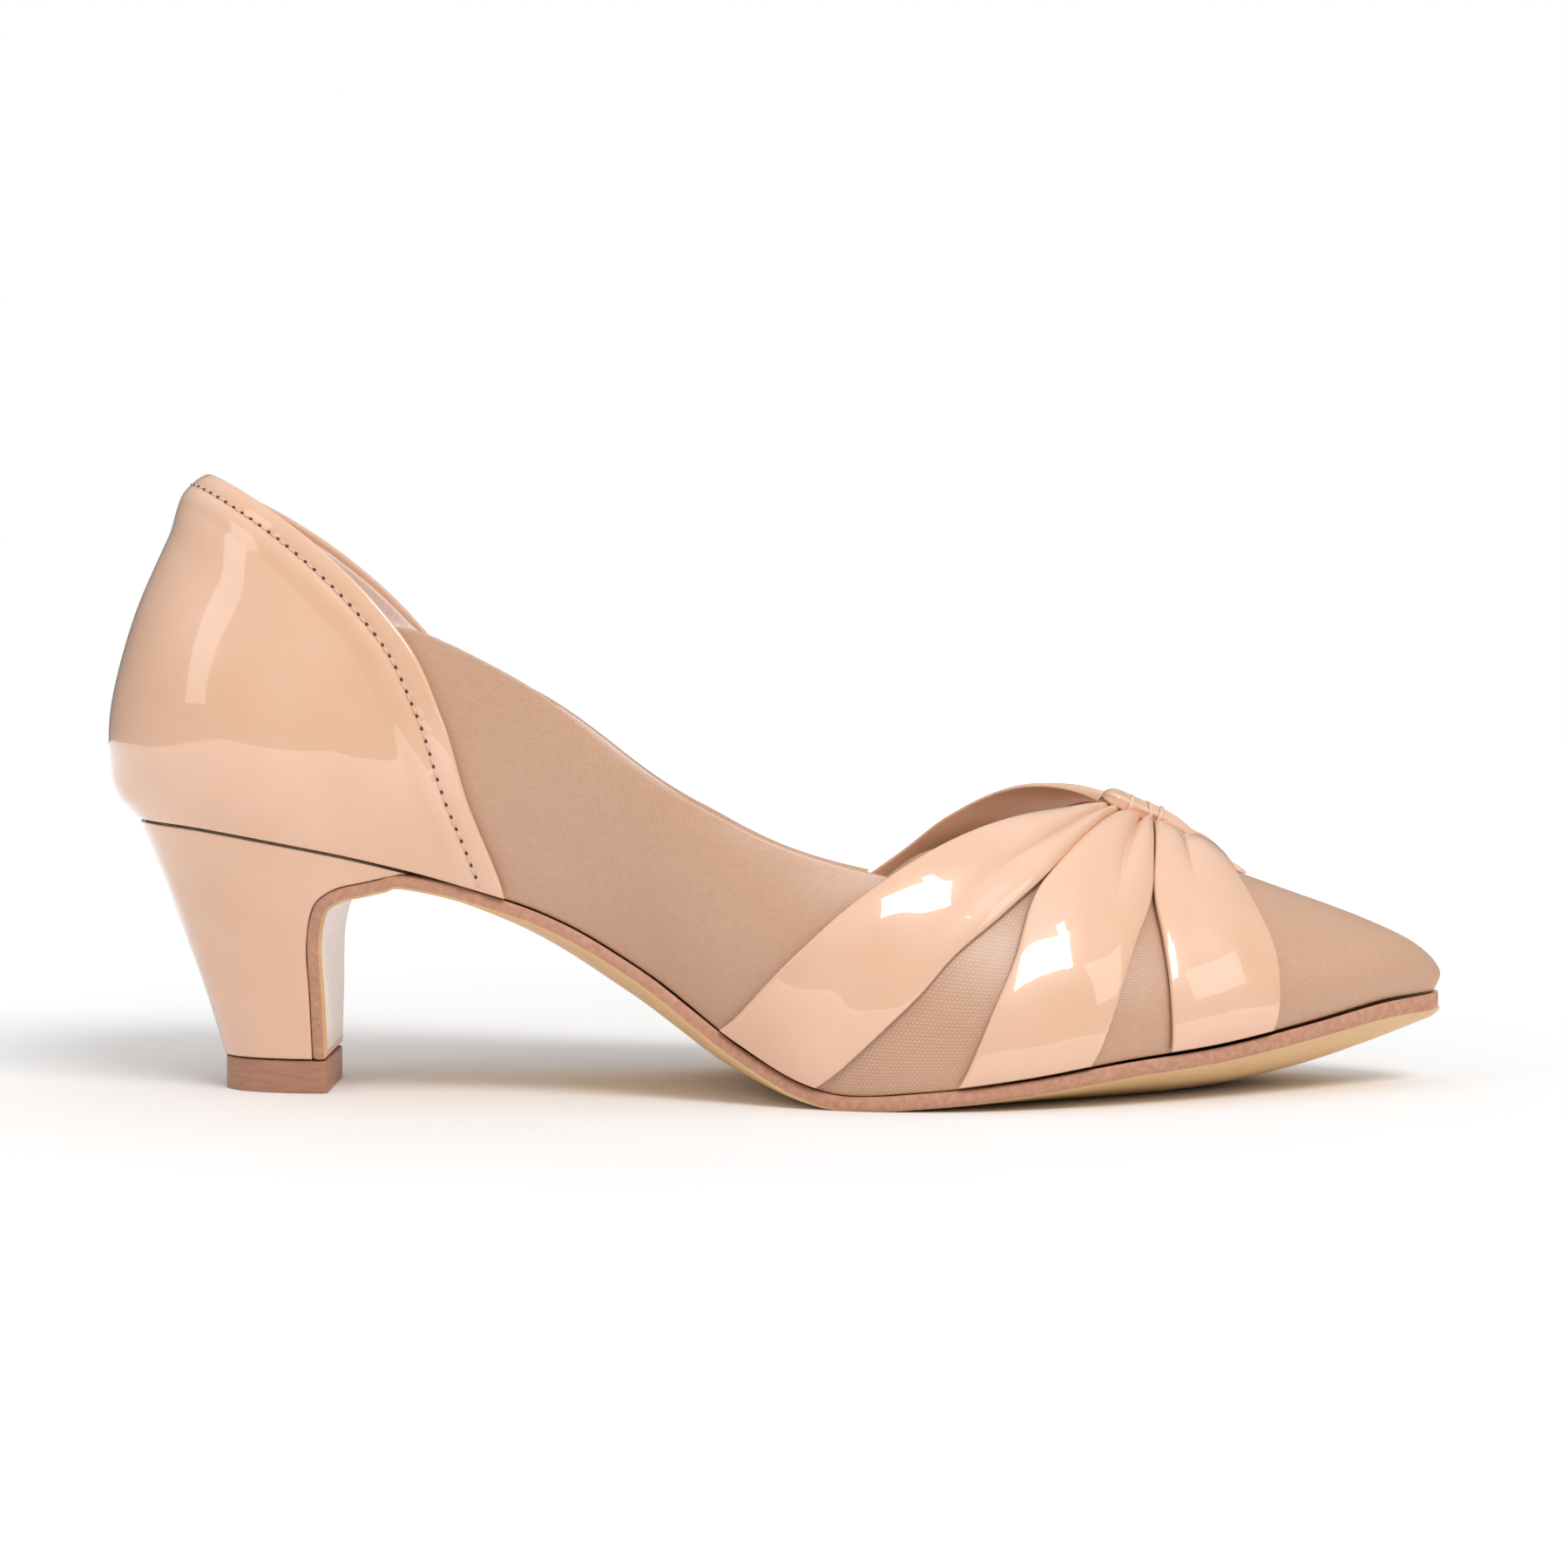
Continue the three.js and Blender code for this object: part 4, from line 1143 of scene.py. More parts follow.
    def _stitch_row(self, name: str, line: Array, normal: Array) -> None:
        """Stitches along a line, each with a dark bead that paints the shade in its needle hole.

        Args:
            name: What the row is on.
            line: Points along it.
            normal: The leather's direction at each point.
        """
        run = np.concatenate([[0], np.cumsum(np.linalg.norm(np.diff(line, axis=0), axis=1))])
        count = int(run[-1] // self.stitch_pitch)

        def sample(values: Array, at: float) -> Array:
            """The row of some values at a length along the line."""
            return np.array([np.interp(at, run, part) for part in values.T])

        def bead(bm: bmesh.types.BMesh, at: Array, turn: Matrix, half: tuple, cuts: tuple[int, int]) -> None:
            """Adds a small ellipsoid to a mesh.

            Args:
                bm: The mesh.
                at: Its pattern point.
                turn: Its rotation.
                half: Half its size along, across and up.
                cuts: Its cuts round and from pole to pole.
            """
            place = Matrix.Translation(Vector(self.last.settle(at)))
            size = Matrix.Diagonal((*(part * MM for part in half), 1))
            bmesh.ops.create_uvsphere(bm, u_segments=cuts[0], v_segments=cuts[1], radius=1,
                                      matrix=place @ turn @ size)

        threads, hole_shades = bmesh.new(), bmesh.new()
        for index in range(count):
            at = (index + 0.5) * run[-1] / count
            middle, up = sample(line, at), sample(normal, at)
            along = unit(sample(line, at + 0.3) - middle)
            across = unit(np.cross(up, along))
            turn = Matrix(np.stack([along, across, np.cross(along, across)], axis=1).tolist()).to_4x4()
            end = middle + along * self.stitch_pitch / 2
            bead(threads, middle, turn, self.thread_size, (7, 5))
            # A dark bead over each needle hole paints the shade inside it.
            bead(hole_shades, end + up * 0.02, turn, self.hole_size, (8, 4))
        Piece(f"{name}_stitching", "backing_cloth", finish="thread").make(threads, self.finishes)
        Piece(f"{name}_needle_holes", "heel_plastic", finish="painted_hole_shade").make(hole_shades, self.finishes)

    def _folded_satin(self, turned: Array, outer: Array, k: Array) -> Array:
        """Offsets of a satin sheet whose inner face drops where turned is 1."""
        return mix(-mix(self.satin, self.turn_in, turned), outer, k)

    def _drawn_lining(self, drawn: Array, k: Array) -> Array:
        """Offsets of a lining that is drawn up, and thinned, where drawn is 1.

        Args:
            drawn: 0 where it lies flat and 1 where it is drawn up.
            k: Depths, 0 at the inner face and 1 at the outer.

        Returns:
            Offsets from the satin's face.
        """
        drawn = self.lining_draw * drawn
        outer = -self.lining_face + drawn
        return mix(outer - self.lining * (1 - 0.3 * drawn), outer, k)

    def satin_quarter(self, side: Side) -> None:
        """The satin of one side, its top edge rolled over the lining.

        Args:
            side: The side of the foot.
        """
        word, top = side.word, self.top[side]

        def place(p: Array, q: Array, start: float, share: float = 1) -> tuple[Array, Array]:
            """A place between the heel quarter and the vamp seam.

            Args:
                p: Shares of the way forward.
                q: Shares of the way up.
                start: Where the sheet begins, as a share of the way to the heel quarter's edge.
                share: How much of the height it takes.

            Returns:
                Places along the last and up its wall.
            """
            t = q * share * top(np.full_like(q, 0.5))
            first = start * self.edge[side](t) + 2 * self.gap
            a = mix(first, self.join[side](t) - self.gap, p)
            return a, q * share * top(a)

        def satin(p: Array, q: Array, k: Array) -> Array:
            """The satin sheet, folded over at its top edge.

            Args:
                p: Shares of the way forward.
                q: Shares of the way up.
                k: Depths, 0 at the inner face and 1 at the outer.

            Returns:
                Pattern points.
            """
            a, t = place(p, q, self.tuck)
            turned = ease(q, 0.9, 0.985)
            outer = 0.1 * ripple(p * 5, q * 2.5, 0.4 + side.value) * ease(q, 0.05, 0.3)
            offset = self._folded_satin(turned, outer * (1 - turned), k)
            return self.last.layer(a, over(side.value, t), offset)

        def lining(p: Array, q: Array, k: Array) -> Array:
            """The lining sheet, drawn up behind the fold."""
            a, t = place(p, q, 1, 0.985)
            return self.last.layer(a, over(side.value, t), self._drawn_lining(ease(q, 0.86, 1), k))

        piece = Piece(f"{word}_satin_quarter", "satin", (f"satin_quarter_{word}",))
        sheet = self.lay(piece, Shell(satin, (150, 90), 0.4))
        piece = Piece(f"{word}_quarter_lining", "lining_leather", (f"quarter_lining_{word}",))
        self.lay(piece, Shell(lining, (100, 60), 0.35))

    def heel_lining(self) -> None:
        """The lining round the heel, drawn up to the folded patent edge."""

        def face(p: Array, q: Array, k: Array) -> Array:
            """The sheet from the back seam forward, over both sides.

            Args:
                p: Shares from the back seam forward.
                q: Places over the foot.
                k: Depths, 0 at the inner face and 1 at the outer.

            Returns:
                Pattern points.
            """
            share = mix(1 - 0.9 / self.quarter_length, 1 + 0.004, 1 - self._free_both(q))
            a = p * share * self._edges(q, self.edge)
            drawn = 1 - ease((1 - p) * self.quarter_length, 1.2, 6.5)
            outer = -self.lining_face + self.heel_draw * drawn * self._free_both(q)
            return self.last.layer(a, q, mix(outer - self.lining, outer, k))

        self.lay(Piece("back_lining", "lining_leather", ("heel_lining",)), Shell(face, (140, 160), 0.35))

    def _free_both(self, b: Array) -> Array:
        """How far either quarter's edge is clear of the satin.

        Args:
            b: Places over the foot.

        Returns:
            0 where the edge lies on the satin and 1 where it is above it.
        """
        lateral = self.free(np.clip(2 * b, 0, 1), Side.LATERAL)
        medial = self.free(np.clip(2 * (1 - b), 0, 1), Side.MEDIAL)
        return np.where(b <= 0.5, lateral, medial)

    def vamp(self) -> None:
        """The satin over the toes, its throat edge rolled, and its lining."""

        def place(p: Array, q: Array, short: float) -> Array:
            """A place between the throat and the toe tip."""
            return mix(self._edges(q, self.vamp_edge) + self.gap + short, 1, p)

        def satin(p: Array, q: Array, k: Array) -> Array:
            """The satin sheet, folded over at the throat.

            Args:
                p: Shares from the throat to the toe.
                q: Places over the foot.
                k: Depths, 0 at the inner face and 1 at the outer.

            Returns:
                Pattern points.
            """
            turned = 1 - ease(p, 0.01, 0.06)
            outer = 0.08 * ripple(p * 4, q * 6, 2.2) * ease(p, 0.05, 0.2) * ease(1 - p, 0.02, 0.2)
            return self.last.layer(place(p, q, 0), q, self._folded_satin(turned, outer, k))

        def lining(p: Array, q: Array, k: Array) -> Array:
            """The lining sheet, drawn up behind the fold."""
            offset = self._drawn_lining(1 - ease(p, 0, 0.07), k)
            return self.last.layer(place(p, q, 0.004), q, offset)

        sheet = self.lay(Piece("vamp_satin", "satin", ("vamp",)), Shell(satin, (150, 190), 0.4))
        self.lay(Piece("toe_lining", "lining_leather", ("vamp_lining",)), Shell(lining, (80, 100), 0.35))

    def build(self) -> None:
        """Makes every piece of the upper."""
        self.heel_lining()
        self.vamp()
        for side in Side:
            self.satin_quarter(side)
            self.heel_quarter(side)
            self.topstitching(side)


# ---- Pleated bands --------------------------------------------------------------------------------


@dataclass(frozen=True)
class BandCut:
    """One pair of bands, drawn in side view from the sole up to the ridge.

    Attributes:
        back: The back edge, as pattern x and height above the feather line.
        front: The front edge.
        ridge: Where both edges reach the ridge, as pattern x.
        tubes: The pleats at the knot, each as (middle, half width) across the band.
        flat: The cut's width, length and area, in metres and square metres. It is not used.
        stand: How far the back edge stands off the foot on each side.
        inner_back: The back edge on the inner side, where it differs.
    """

    back: tuple
    front: tuple
    ridge: tuple[float, float]
    tubes: tuple
    flat: tuple[float, float, float]
    stand: dict = field(default_factory=lambda: {Side.LATERAL: 0, Side.MEDIAL: 0})
    inner_back: tuple = ()

    def edges(self, side: Side) -> tuple[tuple, tuple]:
        """Its back and front edge on a side."""
        return (self.inner_back if side is Side.MEDIAL and self.inner_back else self.back), self.front


BAND_CUTS = {
    "rear": BandCut(
        back=((106.8, 0.4), (121.9, 25), (136.8, 37.8), (148.5, 42.6), (162.3, 43.6)),
        inner_back=((106.8, 0.4), (123.6, 24.5), (139.0, 36.4), (149.2, 43.0), (161.5, 44.7)),
        front=((124, 0.4), (139.4, 14.8), (148.1, 23.1), (157.1, 28.9), (167, 35)),
        ridge=(175, 179.4), stand={Side.LATERAL: 0.3, Side.MEDIAL: 1.6},
        tubes=((0.29, 0.3), (0.78, 0.24)), flat=(0.019, 0.092, 0.00155)),
    "middle": BandCut(
        back=((148.6, 0.4), (154.3, 12), (158.6, 21), (162.2, 30.6), (167.3, 35.3)),
        front=((171.9, 0.4), (177.6, 12.4), (180.8, 20), (184, 26.5), (184.6, 33)),
        ridge=(179.6, 184.8), tubes=((0.33, 0.36), (0.86, 0.17)), flat=(0.024, 0.062, 0.0012)),
    "front": BandCut(
        back=((186.5, 0.4), (186.4, 11.4), (185.6, 19.5), (184.5, 27), (184.8, 33)),
        front=((205.7, 0.4), (207, 10.5), (205.7, 17), (202.4, 24.5), (199.8, 28.6)),
        ridge=(185.2, 198.5), tubes=((0.2, 0.25), (0.72, 0.34)), flat=(0.022, 0.042, 0.00085)),
}


@dataclass
class Bands(SubAssembly):
    """The pleated bands, the wrap that gathers them and its ties.

    Attributes:
        gap: Between the satin and a band.
        patent: Thickness of the patent leather.
        pleat: How full a band is along its middle.
        tube: Height of the tube pleats at the knot.
        crease: Height of the loose leather's waves.
        end_t: How far up its wall a band ends, under the wrap.
        gather: Height that the gathered ends add at the knot.
        outer_gather: How much of it the outer side has.
        rear_gather: How much of that is missing behind the knot.
        wrap_span: Where the wrap begins and ends, as pattern x of the ridge.
        wrap_lift: Height of the roll's middle over the gathered ends, at its back.
        wrap_sinks: How far it sinks, each as (depth, from, to) in shares of its run.
        roll: Half width and half height of the roll.
        crown_run: From feather line to feather line over the knot.
        ties: Pattern x and skew of each tie.
    """

    gap: float = 0.6
    patent: float = 0.9
    pleat: float = 1.3
    tube: float = 2.1
    crease: float = 0.3
    end_t: float = 0.975
    gather: float = 3
    outer_gather: float = 0.62
    rear_gather: float = 0.85
    wrap_span: tuple[float, float] = (175.2, 204)
    wrap_lift: float = 2.9
    wrap_sinks: tuple = ((0.7, 0, 0.3), (0.9, 0.45, 0.8), (1.1, 0.75, 1))
    roll: tuple[float, float] = (2.7, 2.0)
    crown_run: float = 108
    ties: tuple = ((180.4, 0.6), (183.6, -1.4), (186.2, 0.9))

    def gathered(self, a: Array, t: Array, side: Side = Side.MEDIAL) -> Array:
        """Height added by the gathered ends, greatest towards the knot.

        Args:
            a: Places along the last.
            t: Shares of the way up.
            side: The side of the foot.

        Returns:
            A height for each place.
        """
        ridge = self.last.ridge
        height = self.gather * (1 - ease(a, ridge(184), ridge(202))) * ease(t, 0.6, 0.93)
        if side is Side.MEDIAL:
            return height
        behind = 1 - ease(a, ridge(166), ridge(182))
        return height * self.outer_gather * (1 - self.rear_gather * behind)

    def band(self, name: str, side: Side) -> None:
        """One band: taut at the sole, drawn into tube pleats at the knot.

        Args:
            name: The band's name in the cuts.
            side: The side of the foot.
        """
        cut, last = BAND_CUTS[name], self.last
        edges = []
        for points, ridge_x in zip(cut.edges(side), cut.ridge):
            end = [float(last.ridge(ridge_x)), self.end_t]
            edges.append(Spline(np.vstack([last.marks(points, side), end]), clamped=True))
        seed = 1.7 * len(name) + side.value

        def face(p: Array, q: Array, k: Array) -> Array:
            """The band, from its back to its front edge and from the sole to the ridge.

            Args:
                p: Shares from the back edge to the front one.
                q: Shares from the sole up.
                k: Depths, 0 at the inner face and 1 at the outer.

            Returns:
                Pattern points.
            """
            a, t = np.moveaxis(mix(edges[0].at(q), edges[1].at(q), p[..., None]), -1, 0)
            lifted = self.gap + cut.stand[side] * (1 - p) ** 2 * np.sin(math.pi * q * q)
            full = self.pleat * np.sin(math.pi * p) ** 0.75 * np.sin(math.pi * q) ** 0.8
            tubes = np.zeros_like(p)
            for middle, half in cut.tubes:
                bulge = np.sqrt(np.maximum(0, 1 - ((p - middle) / half) ** 2))
                tubes = np.maximum(tubes, bulge)
            drawn = ease(q, 0.5, 0.92)
            full = mix(full, self.tube * tubes, drawn)
            loose = ease(q, 0.05, 0.25) * np.sin(math.pi * p) ** 0.6 * (1 - 0.6 * drawn)
            full = full + self.crease * ripple(p * 1.5 + 0.8 * q, q * 1.3, seed) * loose
            outer = lifted + self.patent + full + self.gathered(a, t, side)
            return last.layer(a, over(side.value, t), outer - self.patent * (1 - k))

        def paint(_: Array, depth: Array, rise: Array) -> Array:
            """1 on the band's back."""
            return (1 - depth) * rise

        piece = Piece(f"{side.word}_{name}_band", "patent_leather", (f"band_{name}_{side.word}",))
        sheet = self.lay(piece, Shell(face, (72, 190), 0.42, paint=paint))

    def wrap_height(self, a: Array) -> Array:
        """Height of the roll's middle over the ridge.

        Args:
            a: Places along the last.

        Returns:
            A height for each place.
        """
        first, last = self.last.ridge(np.array(self.wrap_span))
        p = (a - first) / (last - first)
        height = self.gathered(a, np.ones_like(a)) + self.wrap_lift
        for depth, start, end in self.wrap_sinks:
            height = height - depth * ease(p, start, end)
        return height

    def over_roll(self, a: Array, turn: Array, wide: Array, high: Array) -> Array:
        """Points round the roll.

        Args:
            a: Places along the last.
            turn: Angles from straight up, towards the inner side.
            wide: Distances from the roll's middle at its side.
            high: Distances at its top.

        Returns:
            Pattern points.
        """
        height = self.wrap_height(a) + high * np.cos(turn)
        return self.last.layer(a, 0.5 + wide * np.sin(turn) / self.crown_run, height)

    def tie(self, number: int, x: float, skew: float) -> None:
        """A short flat tie of thread that holds the roll down.

        Args:
            number: Its number along the roll.
            x: Where it crosses the ridge, as pattern x.
            skew: How far its ends lie apart along the ridge.
        """

        def face(p: Array, q: Array, k: Array) -> Array:
            """The tie, from one side of the roll over to the other.

            Args:
                p: Shares from the outer side over to the inner.
                q: Shares across the tie.
                k: Depths, 0 at the inner face and 1 at the outer.

            Returns:
                Pattern points.
            """
            a = self.last.ridge(x + skew * (p - 0.5) + 0.75 * (q - 0.5))
            wide, high = (0.93 * part + 0.12 + 0.3 * k for part in self.roll)
            return self.over_roll(a, mix(-1, 1, p) * math.radians(105), wide, high)

        self.lay(Piece(f"tie_{number}", "backing_cloth", finish="thread"), Shell(face, (40, 14), 0.12))

    def wrap(self) -> None:
        """The rolled wrap along the ridge that holds the gathered ends."""

        def face(p: Array, q: Array, k: Array) -> Array:
            """The roll, from its back end forward and round from the outer to the inner side.

            Args:
                p: Shares along the roll.
                q: Shares of the way round it.
                k: Depths, 0 at the inner face and 1 at the outer.

            Returns:
                Pattern points.
            """
            a = self.last.ridge(mix(*self.wrap_span, p))
            slim = mix(1, 0.4, ease(p, 0.2, 1))
            size = slim * rounded(p / 0.1) * rounded((1 - p) / 0.08) * (1 + 0.06 * np.sin(q * 26 + p * 5))
            wide, high = (np.maximum(part * size - self.patent * (1 - k), 0.05) for part in self.roll)
            return self.over_roll(a, mix(-1, 1, q) * math.radians(125), wide, high)

        self.lay(Piece("wrap", "patent_leather", ("band_wrap",)), Shell(face, (120, 64), 0.25))

    def build(self) -> None:
        """Makes the bands, the wrap and the ties."""
        for side in Side:
            for name in BAND_CUTS:
                self.band(name, side)
        self.wrap()
        for number, (x, skew) in enumerate(self.ties, start=1):
            self.tie(number, x, skew)


# ---- Bottom and heel ------------------------------------------------------------------------------


@dataclass
class Bottom(SubAssembly):
    """The outsole with its heel flap, the heel cover, the top lift and the sock.

    Attributes:
        outsole: Thickness of the outsole.
        proud: Sole edge and heel cover outside the upper.
        clearance: Between neighbouring pieces.
        crown: How full the sole's underside is along its middle.
        bead: Radius of the sole's edge on its faces.
        flap_start: Where the sole turns down the heel, as a share of its run.
        lip_x: Tip of the heel's lip.
        lip_depth: From the tip to the lip's underside at the middle of the foot.
        lip_curve: The lip's underside, as shares of the way back to the heel's front and drops.
        breast_x: The heel's front face.
        flare: How the heel widens with height.
        seat_half: Half width of the seat that the heel narrows from.
        cover: Thickness of the heel cover.
        seam: Extra room for the groove between the heel and the upper.
        lift_back: Back of the top lift.
        lift_front: Front of the top lift.
        lift_height: Height of the top lift.
        lift_width: Width of the top lift.
        lift_proud: Top lift outside the heel cover.
        lift_corner: Radius of its front corners.
        lift_rim: Width of its broken edges.
        sock_inset: From the satin's face to the sock's edge.
        sock_height: The sock's underside over the last's bottom.
        sock_thick: Thickness of the sock.
        sock_ends: Where the sock begins and ends, as places along the last.
    """

    outsole: float = 2.7
    proud: float = 0.9
    clearance: float = 0.3
    crown: float = 1.5
    bead: float = 1.9
    flap_start: float = 0.72
    lip_x: float = 50.668
    lip_depth: float = 0.6
    lip_curve: tuple = ((0.4, 0.8), (0.7, 2.2), (0.9, 5.0))
    breast_x: float = 32.026
    flare: float = 1.2
    seat_half: float = 26
    cover: float = 0.8
    seam: float = 0.22
    lift_back: float = 15.296
    lift_front: float = 34.7745
    lift_height: float = 6
    lift_width: float = 24
    lift_proud: float = 0.5
    lift_corner: float = 1.1
    lift_rim: float = 0.3
    sock_inset: float = 4.69
    sock_height: float = 5.4
    sock_thick: float = 0.8
    sock_ends: tuple[float, float] = (0.052, 0.93)

    def __post_init__(self) -> None:
        """Draws the side view of the heel's front."""
        lip_z = float(self.last.bed(self.lip_x, 0)) - self.clearance - self.lip_depth
        tip_z = float(self.last.seat(self.lip_x)) - self.clearance - self.lip_depth / 4
        foot_x, foot_z = self.lift_front - self.outsole, self.lift_height + self.clearance
        top = lip_z - 0.05 * self.last.length
        line = [
            (self.lip_x, tip_z),
            *((mix(self.lip_x, self.breast_x, share), lip_z - drop) for share, drop in self.lip_curve),
            (self.breast_x, top),
            (mix(self.breast_x, foot_x, 0.35), mix(top, foot_z, 0.45)),
            (foot_x, foot_z),
        ]
        self.front = Spline(np.array([(x, 0, z) for x, z in line]), centripetal=True)
        points = self.front.at(np.linspace(1, 0, 300))
        self._front_z, self._front_x = points[:, 2], points[:, 0]

    def _place_round(self, along: Array) -> Array:
        """The place along the last of a share of the way round the heel."""
        return float(self.last.place_at(self.lip_x + 2)) * np.abs(1 - 2 * along)

    def heel_point(self, along: Array, level: Array, grow: Array | float) -> Array:
        """Points of the heel's outline.

        Args:
            along: Shares of the way round it, from the outer side's front.
            level: Levels, 0 at the ground and 1 at the seat.
            grow: How far the outline is grown.

        Returns:
            Pattern points.
        """
        side = np.where(along < 0.5, -1, 1)
        a = self._place_round(along)
        seat = self.last.feather(a, side)
        trim = self.proud + self.lift_proud
        narrow = (self.lift_width / 2 - trim) / self.seat_half
        foot = np.stack([self.lift_back + trim + seat[..., 0] * 0.5, seat[..., 1] * narrow,
                         np.zeros_like(along)], axis=-1)
        point = mix(foot, seat, (np.maximum(level, 0) ** self.flare)[..., None])
        grow = np.broadcast_to(grow, np.shape(along))[..., None]
        point = point + self.last.outward(a, side) * grow
        point[..., 2] = level * seat[..., 2]
        return point

    def heel_cover(self) -> None:
        """The patent cover round the heel, lasted under the seat and cut at the heel's front."""
        foot_z = self.lift_height + self.clearance

        def level_of(q: Array, along: Array) -> Array:
            """The level of a share of the way up from the top lift to the seat."""
            seat_z = self.last.feather(self._place_round(along), -1)[..., 2]
            return mix(foot_z, seat_z - self.clearance - self.seam, q) / seat_z

        def start(q: Array) -> Array:
            """Where round the outline the cover begins, just behind the flap.

            Args:
                q: Shares of the way up.

            Returns:
                A share of the way round for each.
            """

            def ahead(along: Array) -> Array:
                """Whether the outline is still ahead of the heel's front there."""
                point = self.heel_point(along, level_of(q, along), self.proud)
                return point[..., 0] > np.interp(point[..., 2], self._front_z, self._front_x) - 0.08

            return halve(np.zeros_like(q), np.full_like(q, 0.5), ahead, 24)

        def face(p: Array, q: Array, k: Array) -> Array:
            """The cover, round the heel from front to front and up to the seat.

            Args:
                p: Shares of the way round.
                q: Shares of the way up.
                k: Depths, 0 at the inner face and 1 at the outer.

            Returns:
                Pattern points.
            """
            first = start(q)
            spread = p - 0.35 * (p - 0.5) * (1 - (2 * p - 1) ** 2)
            along = mix(first, 1 - first, spread)
            hollow = 0.1 * ripple(p * 4, q * 3, 5.0) * ease(q, 0, 0.2) * ease(1 - q, 0, 0.2)
            return self.heel_point(along, level_of(q, along), self.proud + hollow - (1 - k) * self.cover)

        self.lay(Piece("heel_covering", "patent_leather", ("heel_cover",)), Shell(face, (170, 90), 0.22))

    def top_lift(self) -> None:
        """The wearing piece, a flat sided block with softened edges."""
        along = np.linspace(0, 1, 240)
        ring = self.heel_point(along, np.full_like(along, 0.06), self.proud + self.lift_proud)
        ring = ring[ring[:, 0] <= self.lift_front]
        ring[[0, -1], 0] = self.lift_front
        ring = np.vstack([ring[:-1:4], ring[-1:]])
        bm = bmesh.new()
        corners = [bm.verts.new(self.last.settle(np.array([x, y, 0.0]))) for x, y, _ in ring]
        raised = bmesh.ops.extrude_face_region(bm, geom=[bm.faces.new(corners)])["geom"]
        top = [item for item in raised if isinstance(item, bmesh.types.BMVert)]
        bmesh.ops.translate(bm, verts=top, vec=(0, 0, self.lift_height * MM))
        bmesh.ops.recalc_face_normals(bm, faces=bm.faces)
        upright = [edge for edge in bm.edges if abs(edge.verts[0].co.z - edge.verts[1].co.z) > MM
                   and edge.calc_face_angle(0) > 0.6]
        bmesh.ops.bevel(bm, geom=upright, offset=self.lift_corner * MM, segments=5, profile=0.5,
                        material=-1, affect="EDGES")
        rims = [edge for edge in bm.edges if edge.calc_face_angle(0) > 1]
        bmesh.ops.bevel(bm, geom=rims, offset=self.lift_rim * MM, segments=3, profile=0.5,
                        material=-1, affect="EDGES")
        piece = Piece("top_piece", "lift_plastic", ("top_lift",)).make(bm, self.finishes)
        piece.data.set_sharp_from_angle(angle=math.radians(35))

    def _sole_edges(self) -> tuple[Spline, Spline, Spline]:
        """The sole's two upper edges and its sag, from the toe tip back and down the heel."""
        share = self.flap_start
        along = np.linspace(0, 1, 45)
        a = mix(1, float(self.last.place_at(self.lip_x + 3)), np.clip(along / share, 0, 1))
        flap = self.front.at(np.clip((along - share) / (1 - share), 0, 1))
        middle, half = self.last.width(flap[:, 0])
        level = np.clip(flap[:, 2] / self.last.seat(flap[:, 0]), 0, 1) ** self.flare
        reach = mix(self.lift_width / 2 - self.lift_proud, half + self.proud, level)
        edges = []
        for side in Side:
            sole = self.last.feather(a, side.value) + self.last.outward(a, side.value) * self.proud
            sole[:, 2] = self.last.seat(sole[:, 0]) - self.clearance / 2
            down = flap.copy()
            down[:, 1] = level * middle + side.value * reach
            edges.append(Spline(np.where((along <= share)[:, None], sole, down)))
        sag = self.last.sag_at(edges[0].points[:, 0])
        return edges[0], edges[1], Spline(sag[:, None])

    def outsole_piece(self) -> None:
        """The outsole: a painted edge, a crowned underside, and its flap down the heel's front."""
        lateral, medial, sag = self._sole_edges()
        step = 0.014

        def upper_face(p: Array, q: Array) -> Array:
            """The sole's upper face, edge to edge.

            Args:
                p: Shares from the toe back and down the heel.
                q: Shares from edge to edge.

            Returns:
                Pattern points.
            """
            point = mix(lateral.at(p), medial.at(p), q[..., None])
            point[..., 2] -= sag.at(p)[..., 0] * (1 - (2 * q - 1) ** 2)
            return point

        def face(p: Array, q: Array, k: Array) -> Array:
            """The sole, from the toe tip back and down the heel, edge to edge.

            Args:
                p: Shares from the toe back and down the heel.
                q: Shares from edge to edge.
                k: Depths, 0 at the inner face and 1 at the outer.

            Returns:
                Pattern points.
            """
            inside = np.clip(p, step, 1 - step)
            slope = upper_face(inside + step, q) - upper_face(inside - step, q)
            down = unit(np.stack([-slope[..., 2], 0 * p, slope[..., 0]], axis=-1))
            crown = self.crown * (1 - np.abs(2 * q - 1) ** 2.4)
            crown = crown * ease(p, 0.02, 0.1) * (1 - ease(p, 0.6, self.flap_start))
            point = upper_face(p, q) + down * ((self.outsole + crown) * k)[..., None]
            point[..., 2] = np.maximum(point[..., 2], 0)
            return point

        def paint(p: Array, depth: Array, rise: Array) -> Array:
            """1 on the painted edge, and 0.38 on the last of its rounding.

            Args:
                p: Shares of the way from the toe back and down the heel.
                depth: 1 on the underside and 0 on the upper face.
                rise: The border's rise, 1 where a face is full.

            Returns:
                The paint; behind the ball it stops short of the underside.
            """
            rim = np.where(rise < 0.999, 0.38, 0.0)
            whole, short = np.where(rise < 0.95, 1.0, rim), np.where(rise < 0.5, 1.0, rim)
            return np.where(depth > 0.5, mix(whole, short, ease(p, 0.42, 0.52)), whole)

        shell = Shell(face, (330, 44), self.bead, border=Border.BEAD, paint=paint)
        self.lay(Piece("sole", "painted_sole", ("outsole",)), shell)

    def sock(self) -> None:
        """The sock lining, softly crowned under its leather, with its edge turned down."""

